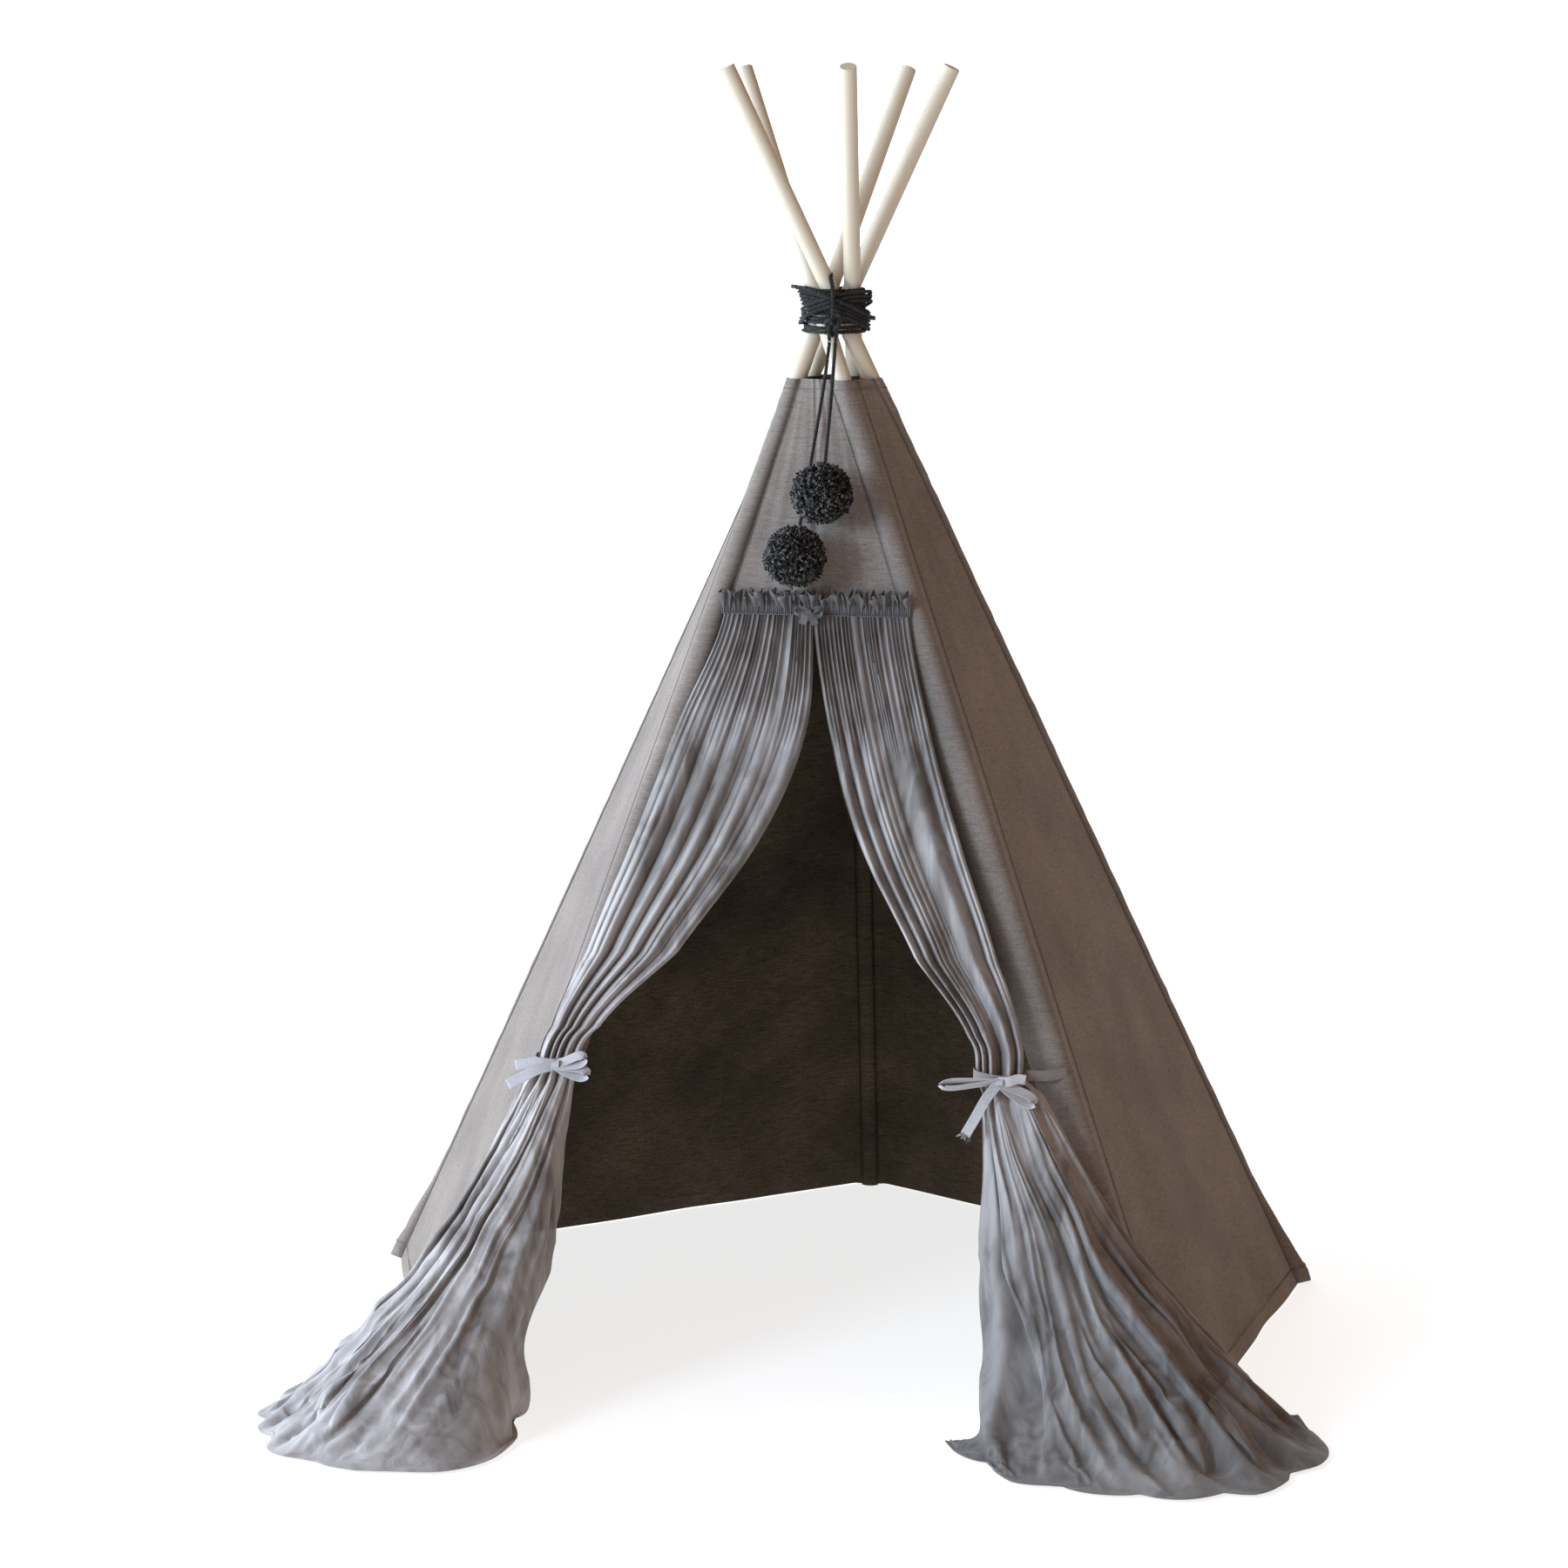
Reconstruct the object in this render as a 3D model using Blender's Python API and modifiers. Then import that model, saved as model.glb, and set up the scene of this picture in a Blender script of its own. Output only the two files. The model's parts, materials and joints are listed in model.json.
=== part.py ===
"""A child's five-pole teepee with a gathered curtain door, standing on its feet.

Metres, +Z up. The origin is on the floor below the lashing, and the door faces -Y.
Every pole leans past the centre line on the same side, so the five cross as a twisted bundle
at the waist, where a rope lashes them. Each pole folds inwards about the level line that runs
from the middle of the waist through the pole, which is where its origin lies.
"""

import math

import bmesh
import bpy
from mathutils import Matrix, Vector

# Driving dimensions
FOOT_RADIUS = 0.65
FRONT_HALF_ANGLE = 45
SIDE_ANGLE = 19
WAIST_HEIGHT = 1.334
WAIST_RADIUS = 0.0235
POLE_RADIUS = 0.011
POLE_LENGTH = 1.82
COVER_TOP = 1.248
COVER_BOTTOM = 0.004
DOOR_TOP = 0.953
HEADING_TOP = 0.984
CLOTH = 0.001
SLEEVE_CLOTH = 0.001
GAP = 0.0004
ROPE_RADIUS = 0.003
ROPE_TURNS = 8
CORD_RADIUS = 0.0025
POMPOM_RADIUS = 0.034
NECK_OUT = 0.030
CENTRE_SEAM = 0.003
RIBBON_WIDTH = 0.016
RIBBON_THICKNESS = 0.0018

# Compass angle of each foot, anticlockwise from +X
POLES = {
    "front_left": 270 - FRONT_HALF_ANGLE,
    "front_right": 270 + FRONT_HALF_ANGLE,
    "right": SIDE_ANGLE,
    "back": 90,
    "left": 180 - SIDE_ANGLE,
}
PANELS = {
    "panel_left": ("left", "front_left"),
    "panel_right": ("front_right", "right"),
    "panel_back_right": ("right", "back"),
    "panel_back_left": ("back", "left"),
}

# What follows from them
SPREAD = math.sqrt(FOOT_RADIUS**2 - WAIST_RADIUS**2)
TILT = math.atan(SPREAD / WAIST_HEIGHT)
SLEEVE_OUTER = POLE_RADIUS + GAP + SLEEVE_CLOTH
COVER_OFFSET = SLEEVE_OUTER + GAP + CLOTH / 2
FRONT_SLOPE = math.tan(TILT) * math.cos(math.radians(FRONT_HALF_ANGLE))
OUT_OF_FRONT = Vector((0, -1, FRONT_SLOPE)).normalized()
UP = Vector((0, 0, 1))

# Colours: red, green, blue, roughness
WOOD = (0.72, 0.60, 0.45, 0.55)
COTTON = (0.19, 0.17, 0.165, 0.9)
VOILE = (0.27, 0.25, 0.25, 0.85)
RIBBON = (0.55, 0.55, 0.60, 0.7)
ROPE = (0.045, 0.047, 0.05, 0.85)
YARN = (0.03, 0.032, 0.034, 0.95)

for leftover in list(bpy.data.objects):
    bpy.data.objects.remove(leftover)
PARTS = bpy.data.collections.new("teepee_tent")
CUTTERS = bpy.data.collections.new("cutters")
bpy.context.scene.collection.children.link(PARTS)
bpy.context.scene.collection.children.link(CUTTERS)


# Places on the tent


def toward(angle):
    """A level unit vector at this compass angle in degrees."""
    return Vector((math.cos(math.radians(angle)), math.sin(math.radians(angle)), 0))


def pole_point(pole, height):
    """The point of a pole's centre line at this height."""
    angle = POLES[pole]
    below = WAIST_HEIGHT - height
    level = toward(angle - 90) * WAIST_RADIUS + toward(angle) * below * math.tan(TILT)
    return level + UP * height


def pole_direction(pole):
    """Unit vector up a pole."""
    return (UP * math.cos(TILT) - toward(POLES[pole]) * math.sin(TILT)).normalized()


def cover_point(first, second, share, height, out=0.0):
    """A point of the cloth stretched over two poles: share runs from the first to the second.

    out is its distance in front of the middle of the cloth, gained without leaving the height.
    """
    a, b = pole_point(first, height), pole_point(second, height)
    lean = pole_direction(first).lerp(pole_direction(second), share)
    outwards = (b - a).cross(lean).normalized()
    level = Vector((outwards.x, outwards.y, 0))
    return a.lerp(b, share) + level * ((COVER_OFFSET + out) / level.length_squared)


def front_point(x, height, out=0.0):
    """A point in front of the door: x is across, out is the distance from the cloth's outer face."""
    left, right = pole_point("front_left", height), pole_point("front_right", height)
    share = (x - left.x) / (right.x - left.x)
    return cover_point("front_left", "front_right", share, height, CLOTH / 2 + out)


# Making objects


def material(name, colour):
    found = bpy.data.materials.get(name)
    if found:
        return found
    made = bpy.data.materials.new(name)
    made.use_nodes = True
    shader = made.node_tree.nodes["Principled BSDF"]
    shader.inputs["Base Color"].default_value = (*colour[:3], 1)
    shader.inputs["Roughness"].default_value = colour[3]
    shader.inputs["Metallic"].default_value = 0
    return made


def add(name, data, colour, place=None, parent=None, collection=None):
    """A new object with its own material, placed by a world matrix."""
    made = bpy.data.objects.new(name, data)
    (collection or PARTS).objects.link(made)
    if parent:
        made.parent = parent
        made.matrix_parent_inverse = parent.matrix_basis.inverted()
    made.matrix_basis = place or Matrix.Identity(4)
    if data and colour:
        data.materials.append(material(name, colour))
    return made


def mesh_from(bm, name):
    bmesh.ops.recalc_face_normals(bm, faces=bm.faces)
    data = bpy.data.meshes.new(name)
    bm.to_mesh(data)
    bm.free()
    data.shade_smooth()
    data.set_sharp_from_angle(angle=math.radians(40))
    return data


def thicken(obj, thickness):
    solid = obj.modifiers.new("thickness", "SOLIDIFY")
    solid.thickness = thickness
    solid.offset = 0
    solid.use_even_offset = True
    return obj


def soften(obj, width, segments=2):
    bevel = obj.modifiers.new("edges", "BEVEL")
    bevel.width = width
    bevel.segments = segments
    bevel.limit_method = "ANGLE"
    bevel.angle_limit = math.radians(40)
    return obj


def join(obj, others):
    """Unions other solids into this one. They stay behind as hidden cutters."""
    for other in others:
        other.hide_render = True
        other.display_type = "WIRE"
        union = obj.modifiers.new(f"join {other.name}", "BOOLEAN")
        union.operation = "UNION"
        union.object = other
    return obj


def sheet(name, point, across, along, thickness, colour, parent=None, origin=None):
    """A thin sheet: a grid whose corners are point(s, t), s and t from 0 to 1, given a thickness."""
    bm = bmesh.new()
    bmesh.ops.create_grid(bm, x_segments=across, y_segments=along, size=0.5)
    origin = origin or Vector()
    for vertex in bm.verts:
        vertex.co = point(vertex.co.x + 0.5, vertex.co.y + 0.5) - origin
    place = Matrix.Translation(origin)
    return thicken(add(name, mesh_from(bm, name), colour, place, parent), thickness)


def loft(name, rings, colour):
    """A closed skin over rings of points, all with the same number of points, capped at both ends."""
    bm = bmesh.new()
    made = [[bm.verts.new(p) for p in ring] for ring in rings]
    count = len(made[0])
    for lower, upper in zip(made, made[1:]):
        for i in range(count):
            j = (i + 1) % count
            bm.faces.new((lower[i], lower[j], upper[j], upper[i]))
    bm.faces.new(made[0])
    bm.faces.new(list(reversed(made[-1])))
    return add(name, mesh_from(bm, name), colour)


def tube_curve(name, points, radius, colour, parent=None, origin=None):
    """A round cord or rope along the points, with closed ends."""
    origin = origin or Vector()
    data = bpy.data.curves.new(name, "CURVE")
    data.dimensions = "3D"
    data.bevel_depth = radius
    data.bevel_resolution = 2
    data.use_fill_caps = True
    spline = data.splines.new("POLY")
    spline.points.add(len(points) - 1)
    for slot, point in zip(spline.points, points):
        slot.co = (*(point - origin), 1)
        slot.radius = 1
    return add(name, data, colour, Matrix.Translation(origin), parent)


def block(name, size, place, collection=None, colour=None):
    bm = bmesh.new()
    bmesh.ops.create_cube(bm, size=1)
    bmesh.ops.scale(bm, vec=size, verts=bm.verts)
    return add(name, mesh_from(bm, name), colour, place, collection=collection)


def ball(name, radius, size, place, collection=None, colour=None, parent=None):
    bm = bmesh.new()
    bmesh.ops.create_uvsphere(bm, u_segments=20, v_segments=12, radius=radius)
    bmesh.ops.scale(bm, vec=size, verts=bm.verts)
    return add(name, mesh_from(bm, name), colour, place, parent, collection)


def curve_through(stops, count):
    """Points evenly spaced along a smooth curve through the stops."""
    bezier = []
    padded = [2 * stops[0] - stops[1], *stops, 2 * stops[-1] - stops[-2]]
    for before, start, end, after in zip(padded, padded[1:], padded[2:], padded[3:]):
        for step in range(20):
            t = step / 20
            bezier.append(
                start
                + (end - before) * (t / 2)
                + (before * 2 - start * 5 + end * 4 - after) * (t * t / 2)
                + ((start - end) * 3 + after - before) * (t**3 / 2)
            )
    bezier.append(stops[-1].copy())
    lengths = [0.0]
    for a, b in zip(bezier, bezier[1:]):
        lengths.append(lengths[-1] + (b - a).length)
    found, at = [], 0
    for i in range(count):
        want = lengths[-1] * i / (count - 1)
        while at < len(lengths) - 2 and lengths[at + 1] < want:
            at += 1
        share = (want - lengths[at]) / max(lengths[at + 1] - lengths[at], 1e-9)
        found.append(bezier[at].lerp(bezier[at + 1], share))
    return found


# Poles and the sleeves sewn round them


def pole_empty(pole):
    """The pole's joint: at the waist on the pole's centre line, with its X axis on the fold axis."""
    x = toward(POLES[pole] + 90)
    z = pole_direction(pole)
    y = z.cross(x)
    place = Matrix((x, y, z)).transposed().to_4x4()
    place.translation = pole_point(pole, WAIST_HEIGHT)
    made = add(f"joint_{pole}", None, None, place)
    made.empty_display_size = 0.05
    return made


def make_pole(pole, joint):
    """A round dowel cut square at both ends, whose lower edge rests on the floor."""
    foot_height = POLE_RADIUS * math.sin(TILT)
    below_waist = (WAIST_HEIGHT - foot_height) / math.cos(TILT)
    bm = bmesh.new()
    bmesh.ops.create_cone(
        bm, cap_ends=True, segments=24, radius1=POLE_RADIUS, radius2=POLE_RADIUS, depth=POLE_LENGTH
    )
    bmesh.ops.translate(bm, vec=(0, 0, POLE_LENGTH / 2 - below_waist), verts=bm.verts)
    name = f"pole_{pole}"
    return soften(add(name, mesh_from(bm, name), WOOD, joint.matrix_basis, joint), 0.0008)


def make_sleeve(pole, joint):
    """The sewn channel that the pole slides into, from the floor to the top of the cover."""
    middle = (POLE_RADIUS + GAP + SLEEVE_OUTER) / 2
    clear_of_floor = 0.001 + SLEEVE_OUTER * math.sin(TILT)
    low = -(WAIST_HEIGHT - clear_of_floor) / math.cos(TILT)
    high = -(WAIST_HEIGHT - COVER_TOP) / math.cos(TILT)
    bm = bmesh.new()
    bmesh.ops.create_cone(
        bm, cap_ends=False, segments=24, radius1=middle, radius2=middle, depth=high - low
    )
    bmesh.ops.translate(bm, vec=(0, 0, (high + low) / 2), verts=bm.verts)
    name = f"sleeve_{pole}"
    return thicken(add(name, mesh_from(bm, name), COTTON, joint.matrix_basis, joint), SLEEVE_CLOTH)


def make_door_edge(pole, joint, name, side):
    """The loose edge of a front sleeve, which widens down the doorway. side is +1 towards +X."""
    widest, narrowest = 0.034, 0.004
    start = SLEEVE_OUTER / math.cos(TILT) + GAP

    def point(s, t):
        height = COVER_BOTTOM + t * (DOOR_TOP - 0.006 - COVER_BOTTOM)
        across = (pole_point("front_right", height) - pole_point("front_left", height)) * side
        width = widest + (narrowest - widest) * t
        return pole_point(pole, height) + across.normalized() * (start + s * width)

    origin = joint.matrix_basis.translation
    return sheet(name, point, 1, 6, CLOTH, COTTON, joint, origin)


# The cover


def make_panel(name, first, second):
    def point(s, t):
        return cover_point(first, second, s, COVER_BOTTOM + t * (COVER_TOP - COVER_BOTTOM))

    return sheet(name, point, 6, 10, CLOTH, COTTON)


def make_yoke(name, start, end):
    def point(s, t):
        share = start + s * (end - start)
        height = DOOR_TOP + t * (COVER_TOP - DOOR_TOP)
        return cover_point("front_left", "front_right", share, height)

    return sheet(name, point, 3, 4, CLOTH, COTTON)


def make_heading(name, start, end):
    """One curtain's gathered heading, sewn across the bottom of the yoke."""
    deep, gathers = 0.010, 14

    def point(s, t):
        share = start + s * (end - start)
        height = DOOR_TOP + 0.002 + t * (HEADING_TOP - DOOR_TOP)
        wave = 0.0015 * math.sin(s * gathers * math.pi)
        out = CLOTH / 2 + GAP + deep / 2 + 0.002 + wave
        return cover_point("front_left", "front_right", share, height, out)

    return sheet(name, point, 2 * gathers, 2, deep, VOILE)


# The curtains, one cloth each from the heading to the floor, drawn in at the tie


def hanging_ring(height, left, right, near, far, count=10):
    """One level ring of a curtain's upper part: its front side from left to right, then its back.

    near and far are the distances of its back and its fullest front from the door's face.
    """
    front, back = [], []
    for i in range(count):
        share = i / (count - 1)
        x = left + share * (right - left)
        swell = math.sqrt(math.sin(math.pi * (0.04 + 0.92 * share)))
        front.append(front_point(x, height, near + (far - near) * swell))
        back.append(front_point(x, height, near))
    return front + back[::-1]


def spreading_ring(height, centre, inner, reach, count=10):
    """One level ring of a curtain's lower part: an outer arc from left to right, then an inner arc back.

    reach holds (compass angle, distance from the centre) along the outer arc.
    """
    outer_arc, inner_arc = [], []
    for i in range(count):
        at = i / (count - 1) * (len(reach) - 1)
        first = min(int(at), len(reach) - 2)
        share = at - first
        eased = share * share * (3 - 2 * share)
        angle = reach[first][0] + (reach[first + 1][0] - reach[first][0]) * share
        distance = reach[first][1] + (reach[first + 1][1] - reach[first][1]) * eased
        outer_arc.append(centre + toward(angle) * distance + UP * height)
        inner_arc.append(centre + toward(angle) * min(inner, distance * 0.8) + UP * height)
    return outer_arc + inner_arc[::-1]


def on_floor(point):
    return Vector((point.x, point.y, 0))


def make_curtain(name, pole, neck, spreading, hanging):
    """A curtain from the floor up to its heading.

    spreading holds (height, share of the way from below the neck to the pole's foot, inner radius, reach)
    of each ring below the tie, and hanging what hanging_ring takes for each ring above it.
    """
    start, end = on_floor(neck), on_floor(pole_point(pole, 0.0))
    rings = [
        spreading_ring(height, start.lerp(end, share), inner, reach)
        for height, share, inner, reach in spreading
    ]
    rings += [hanging_ring(*ring) for ring in hanging]
    return loft(name, rings, VOILE)


def make_curtain_left():
    hanging = [
        (0.462, -0.318, -0.268, 0.006, 0.040),
        (0.55, -0.292, -0.180, 0.006, 0.040),
        (0.69, -0.236, -0.078, 0.006, 0.032),
        (0.82, -0.186, -0.024, 0.005, 0.024),
        (0.952, -0.130, -0.0185, 0.003, 0.015),
    ]
    floor = [(128, 0.175), (170, 0.175), (205, 0.193), (240, 0.235), (275, 0.232), (345, 0.13)]
    pool = [(128, 0.17), (170, 0.17), (205, 0.185), (240, 0.225), (275, 0.22), (345, 0.12)]
    ankle = [(150, 0.13), (180, 0.15), (210, 0.17), (240, 0.18), (275, 0.17), (345, 0.12)]
    knee = [(175, 0.10), (195, 0.12), (215, 0.12), (245, 0.12), (280, 0.11), (348, 0.11)]
    below_tie = [(182, 0.062), (200, 0.060), (225, 0.055), (250, 0.050), (290, 0.045), (355, 0.044)]
    tie_low = [(180, 0.026), (200, 0.024), (230, 0.022), (260, 0.020), (300, 0.020), (360, 0.022)]
    tie_high = [(180, 0.024), (200, 0.022), (230, 0.020), (260, 0.020), (300, 0.020), (360, 0.022)]
    spreading = [
        (0.0, 1.0, 0.045, floor),
        (0.03, 1.0, 0.042, pool),
        (0.10, 0.85, 0.040, ankle),
        (0.21, 0.52, 0.036, knee),
        (0.34, 0.20, 0.016, below_tie),
        (0.405, 0.0, 0.008, tie_low),
        (0.440, 0.0, 0.008, tie_high),
    ]
    make_curtain("curtain_left", "front_left", neck_left(), spreading, hanging)


def make_curtain_right():
    hanging = [
        (0.462, 0.185, 0.246, 0.006, 0.040),
        (0.55, 0.120, 0.222, 0.006, 0.040),
        (0.69, 0.046, 0.172, 0.006, 0.032),
        (0.82, 0.010, 0.130, 0.005, 0.024),
        (0.952, -0.0145, 0.104, 0.003, 0.015),
    ]
    floor = [(192, 0.27), (225, 0.25), (250, 0.21), (285, 0.202), (320, 0.20), (384, 0.20)]
    pool = [(192, 0.26), (225, 0.24), (250, 0.20), (285, 0.19), (320, 0.18), (384, 0.18)]
    ankle = [(190, 0.20), (225, 0.20), (250, 0.18), (285, 0.17), (320, 0.14), (375, 0.12)]
    knee = [(184, 0.105), (215, 0.12), (250, 0.11), (285, 0.11), (320, 0.10), (358, 0.10)]
    below_tie = [(182, 0.044), (215, 0.050), (250, 0.050), (285, 0.050), (320, 0.060), (358, 0.082)]
    tie_low = [(180, 0.026), (215, 0.022), (250, 0.020), (285, 0.020), (320, 0.022), (360, 0.028)]
    tie_high = [(180, 0.024), (215, 0.020), (250, 0.020), (285, 0.020), (320, 0.022), (360, 0.026)]
    spreading = [
        (0.0, 1.0, 0.045, floor),
        (0.03, 1.0, 0.042, pool),
        (0.10, 0.85, 0.040, ankle),
        (0.21, 0.50, 0.034, knee),
        (0.34, 0.18, 0.016, below_tie),
        (0.400, 0.0, 0.008, tie_low),
        (0.434, 0.0, 0.008, tie_high),
    ]
    make_curtain("curtain_right", "front_right", neck_right(), spreading, hanging)


# Ribbons that tie the curtains back


def make_tie_strap(name, centre, across, deep, arm_end):
    """A ribbon band round the drawn-in curtain, with an arm that runs back to its seam on the sleeve."""
    bm = bmesh.new()
    bmesh.ops.create_cone(bm, cap_ends=False, segments=28, radius1=1, radius2=1, depth=RIBBON_WIDTH)
    bmesh.ops.scale(bm, vec=(across, deep, 1), verts=bm.verts)
    strap = add(name, mesh_from(bm, name), RIBBON, Matrix.Translation(centre))
    thicken(strap, 0.0012)
    heading = Vector((arm_end.x - centre.x, arm_end.y - centre.y, 0))
    edge = 1 / math.sqrt((heading.x / across) ** 2 + (heading.y / deep) ** 2)
    start = centre + heading * edge
    run = arm_end - start
    place = laid_along(run, start, run.length)
    arm = block(f"{name}_arm", (run.length, RIBBON_THICKNESS, RIBBON_WIDTH * 0.9), place, CUTTERS)
    return join(strap, [arm])


def laid_along(direction, start, length):
    """A matrix with X along the direction and Z as upright as it can be, in the middle of the length."""
    along = direction.normalized()
    side = UP.cross(along).normalized()
    turned = Matrix((along, side, along.cross(side))).transposed().to_4x4()
    turned.translation = start + along * length / 2
    return turned


def ribbon_loop(name, direction, length, width, start):
    """A bow's loop: a ring drawn out sideways, as wide as the ribbon."""
    bm = bmesh.new()
    ring, wire, sides, around = 1.0, 0.16, 20, 8
    for i in range(around):
        turn = 2 * math.pi * i / around
        for j in range(sides):
            swing = 2 * math.pi * j / sides
            reach = ring + wire * math.cos(turn)
            bm.verts.new((reach * math.cos(swing), reach * math.sin(swing), math.sin(turn)))
    bm.verts.ensure_lookup_table()
    for i in range(around):
        for j in range(sides):
            k, m = (i + 1) % around, (j + 1) % sides
            corners = (i * sides + j, k * sides + j, k * sides + m, i * sides + m)
            bm.faces.new([bm.verts[c] for c in corners])
    bmesh.ops.scale(bm, vec=(length / 2, width * 0.42, width / 2), verts=bm.verts)
    place = laid_along(direction, start, length)
    return add(name, mesh_from(bm, name), None, place, collection=CUTTERS)


def ribbon_tail(name, direction, length, width, start):
    size = (length, RIBBON_THICKNESS, width * 0.9)
    return block(name, size, laid_along(direction, start, length), CUTTERS)


def make_bow(name, knot, loops, tails, colour, width):
    """A tied bow: a knot with loops and tails, each given as a direction and a length from the knot."""
    size = Vector((0.62, 0.52, 0.66)) * width
    bow = ball(name, 1, size, Matrix.Translation(knot), colour=colour)
    others = []
    for make, pieces in ((ribbon_loop, loops), (ribbon_tail, tails)):
        for direction, length in pieces:
            direction = Vector(direction)
            start = knot + direction.normalized() * width * 0.3
            others.append(make(f"{name}_piece_{len(others)}", direction, length, width, start))
    return join(bow, others)


# The rope lashing and the pompoms that hang from its knot


def bundle_radius(height):
    """Outer radius of the crossed poles at this height."""
    off = (height - WAIST_HEIGHT) * math.tan(TILT)
    middle = math.hypot(WAIST_RADIUS, off)
    return middle + POLE_RADIUS + 0.001


def make_lashing():
    """Rope wound round the crossed poles, each turn beside the last, hugging the bundle's waisted shape."""
    pitch = 2 * ROPE_RADIUS + 0.0005
    steps = 18
    low = WAIST_HEIGHT - pitch * ROPE_TURNS / 2
    points = []
    for i in range(ROPE_TURNS * steps + 1):
        turn = i / steps
        height = low + pitch * turn
        around = -90 + 360 * turn
        points.append(toward(around) * (bundle_radius(height) + ROPE_RADIUS + 0.0007) + UP * height)
    return tube_curve("lashing_rope", points, ROPE_RADIUS, ROPE)


def knot_centre():
    front = bundle_radius(WAIST_HEIGHT - 0.018) + 2 * ROPE_RADIUS + 0.012
    return Vector((0.0, -front, WAIST_HEIGHT - 0.018))


def hanging_stop(along, sideways, out):
    """A point below the knot: along the cover's slope, to the side, and out from the yoke's face."""
    knot = knot_centre()
    down = Vector((0, -FRONT_SLOPE, -1)).normalized()
    foot = front_point(-0.01, knot.z, 0)
    start = foot + OUT_OF_FRONT * out
    return start + down * along + Vector((sideways - start.x, 0, 0))


def make_pompom(name, cord_name, stops, centre, joint):
    """A pompom on its cord, hanging from the knot in front of the yoke."""
    ball(name, POMPOM_RADIUS, (1, 1, 1), Matrix.Translation(centre), colour=YARN, parent=joint)
    last = stops[-1]
    end = centre + (last - centre).normalized() * (POMPOM_RADIUS + GAP + 0.0004)
    points = curve_through([*stops[:-1], end], 26)
    tube_curve(cord_name, points, CORD_RADIUS, ROPE, joint, joint.matrix_basis.translation)


def neck_left():
    """The middle of the left curtain where its tie draws it in."""
    return front_point(-0.322, 0.424, NECK_OUT)


def neck_right():
    return front_point(0.226, 0.418, NECK_OUT)


def build_ties():
    beside_sleeve = SLEEVE_OUTER / math.cos(TILT) + 0.0055
    bow_out = Vector((0, -0.0335, 0))
    arm_left = pole_point("front_left", 0.424) + toward(212) * beside_sleeve
    make_tie_strap("tie_strap_left", neck_left(), 0.0275, 0.0235, arm_left)
    arm_right = pole_point("front_right", 0.418) + toward(240) * beside_sleeve
    make_tie_strap("tie_strap_right", neck_right(), 0.0310, 0.0235, arm_right)
    make_bow(
        "tie_bow_left",
        neck_left() + bow_out,
        [((1, 0.1, 0.25), 0.038), ((1, -0.1, -0.25), 0.042)],
        [((-1, -0.1, 0.12), 0.05), ((-1, -0.2, -0.3), 0.062)],
        RIBBON,
        RIBBON_WIDTH,
    )
    make_bow(
        "tie_bow_right",
        neck_right() + bow_out,
        [((-1, -0.1, -0.05), 0.075), ((1, -0.1, -0.55), 0.05)],
        [((-0.7, -0.2, -1), 0.075), ((1, -0.1, 0.3), 0.034)],
        RIBBON,
        RIBBON_WIDTH,
    )
    make_bow(
        "heading_bow",
        front_point(-0.014, DOOR_TOP + 0.006, 0.026),
        [((-1, 0, 0.1), 0.018), ((1, 0, 0.1), 0.018)],
        [((-0.6, -0.1, -1), 0.018), ((0.6, -0.1, -1), 0.018)],
        VOILE,
        RIBBON_WIDTH / 2,
    )


def build_pompoms():
    """The knot and the two pompoms. The lower one's cord lies on the cover, behind the upper pompom."""
    knot = knot_centre()
    place = Matrix.Translation(knot)
    ball("lashing_knot", 1, (0.014, 0.0095, 0.016), place, colour=ROPE)
    upper_stops = [
        knot + Vector((0.004, -0.003, -0.0195)),
        hanging_stop(0.10, 0.001, 0.034),
        hanging_stop(0.16, -0.003, 0.037),
        hanging_stop(0.19, -0.005, 0.042),
    ]
    lower_stops = [
        knot + Vector((-0.004, 0.004, -0.0205)),
        hanging_stop(0.08, -0.010, 0.010),
        hanging_stop(0.14, -0.019, 0.0045),
        hanging_stop(0.22, -0.031, 0.0045),
        hanging_stop(0.255, -0.036, 0.0055),
        hanging_stop(0.272, -0.039, 0.014),
    ]
    centres = {"upper": hanging_stop(0.232, -0.008, 0.047), "lower": hanging_stop(0.312, -0.041, 0.040)}
    for which, stops in (("upper", upper_stops), ("lower", lower_stops)):
        joint = add(f"joint_pompom_{which}", None, None, place)
        joint.empty_display_size = 0.03
        make_pompom(f"pompom_{which}", f"pompom_cord_{which}", stops, centres[which], joint)


def build():
    joints = {pole: pole_empty(pole) for pole in POLES}
    for pole, joint in joints.items():
        make_pole(pole, joint)
        make_sleeve(pole, joint)
    make_door_edge("front_left", joints["front_left"], "door_edge_left", 1)
    make_door_edge("front_right", joints["front_right"], "door_edge_right", -1)

    for name, (first, second) in PANELS.items():
        make_panel(name, first, second)
    make_yoke("yoke_left", 0, 0.5 - CENTRE_SEAM)
    make_yoke("yoke_right", 0.5 + CENTRE_SEAM, 1)
    make_heading("curtain_heading_left", 0.045, 0.5 - CENTRE_SEAM)
    make_heading("curtain_heading_right", 0.5 + CENTRE_SEAM, 0.99)
    make_curtain_left()
    make_curtain_right()
    build_ties()

    make_lashing()
    build_pompoms()


build()
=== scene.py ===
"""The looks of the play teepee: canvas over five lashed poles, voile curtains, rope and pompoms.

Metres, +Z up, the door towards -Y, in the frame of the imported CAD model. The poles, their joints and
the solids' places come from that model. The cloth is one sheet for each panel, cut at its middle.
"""

import json
import math
import random

import bpy
import numpy as np
from mathutils import Matrix, Vector, noise


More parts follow.
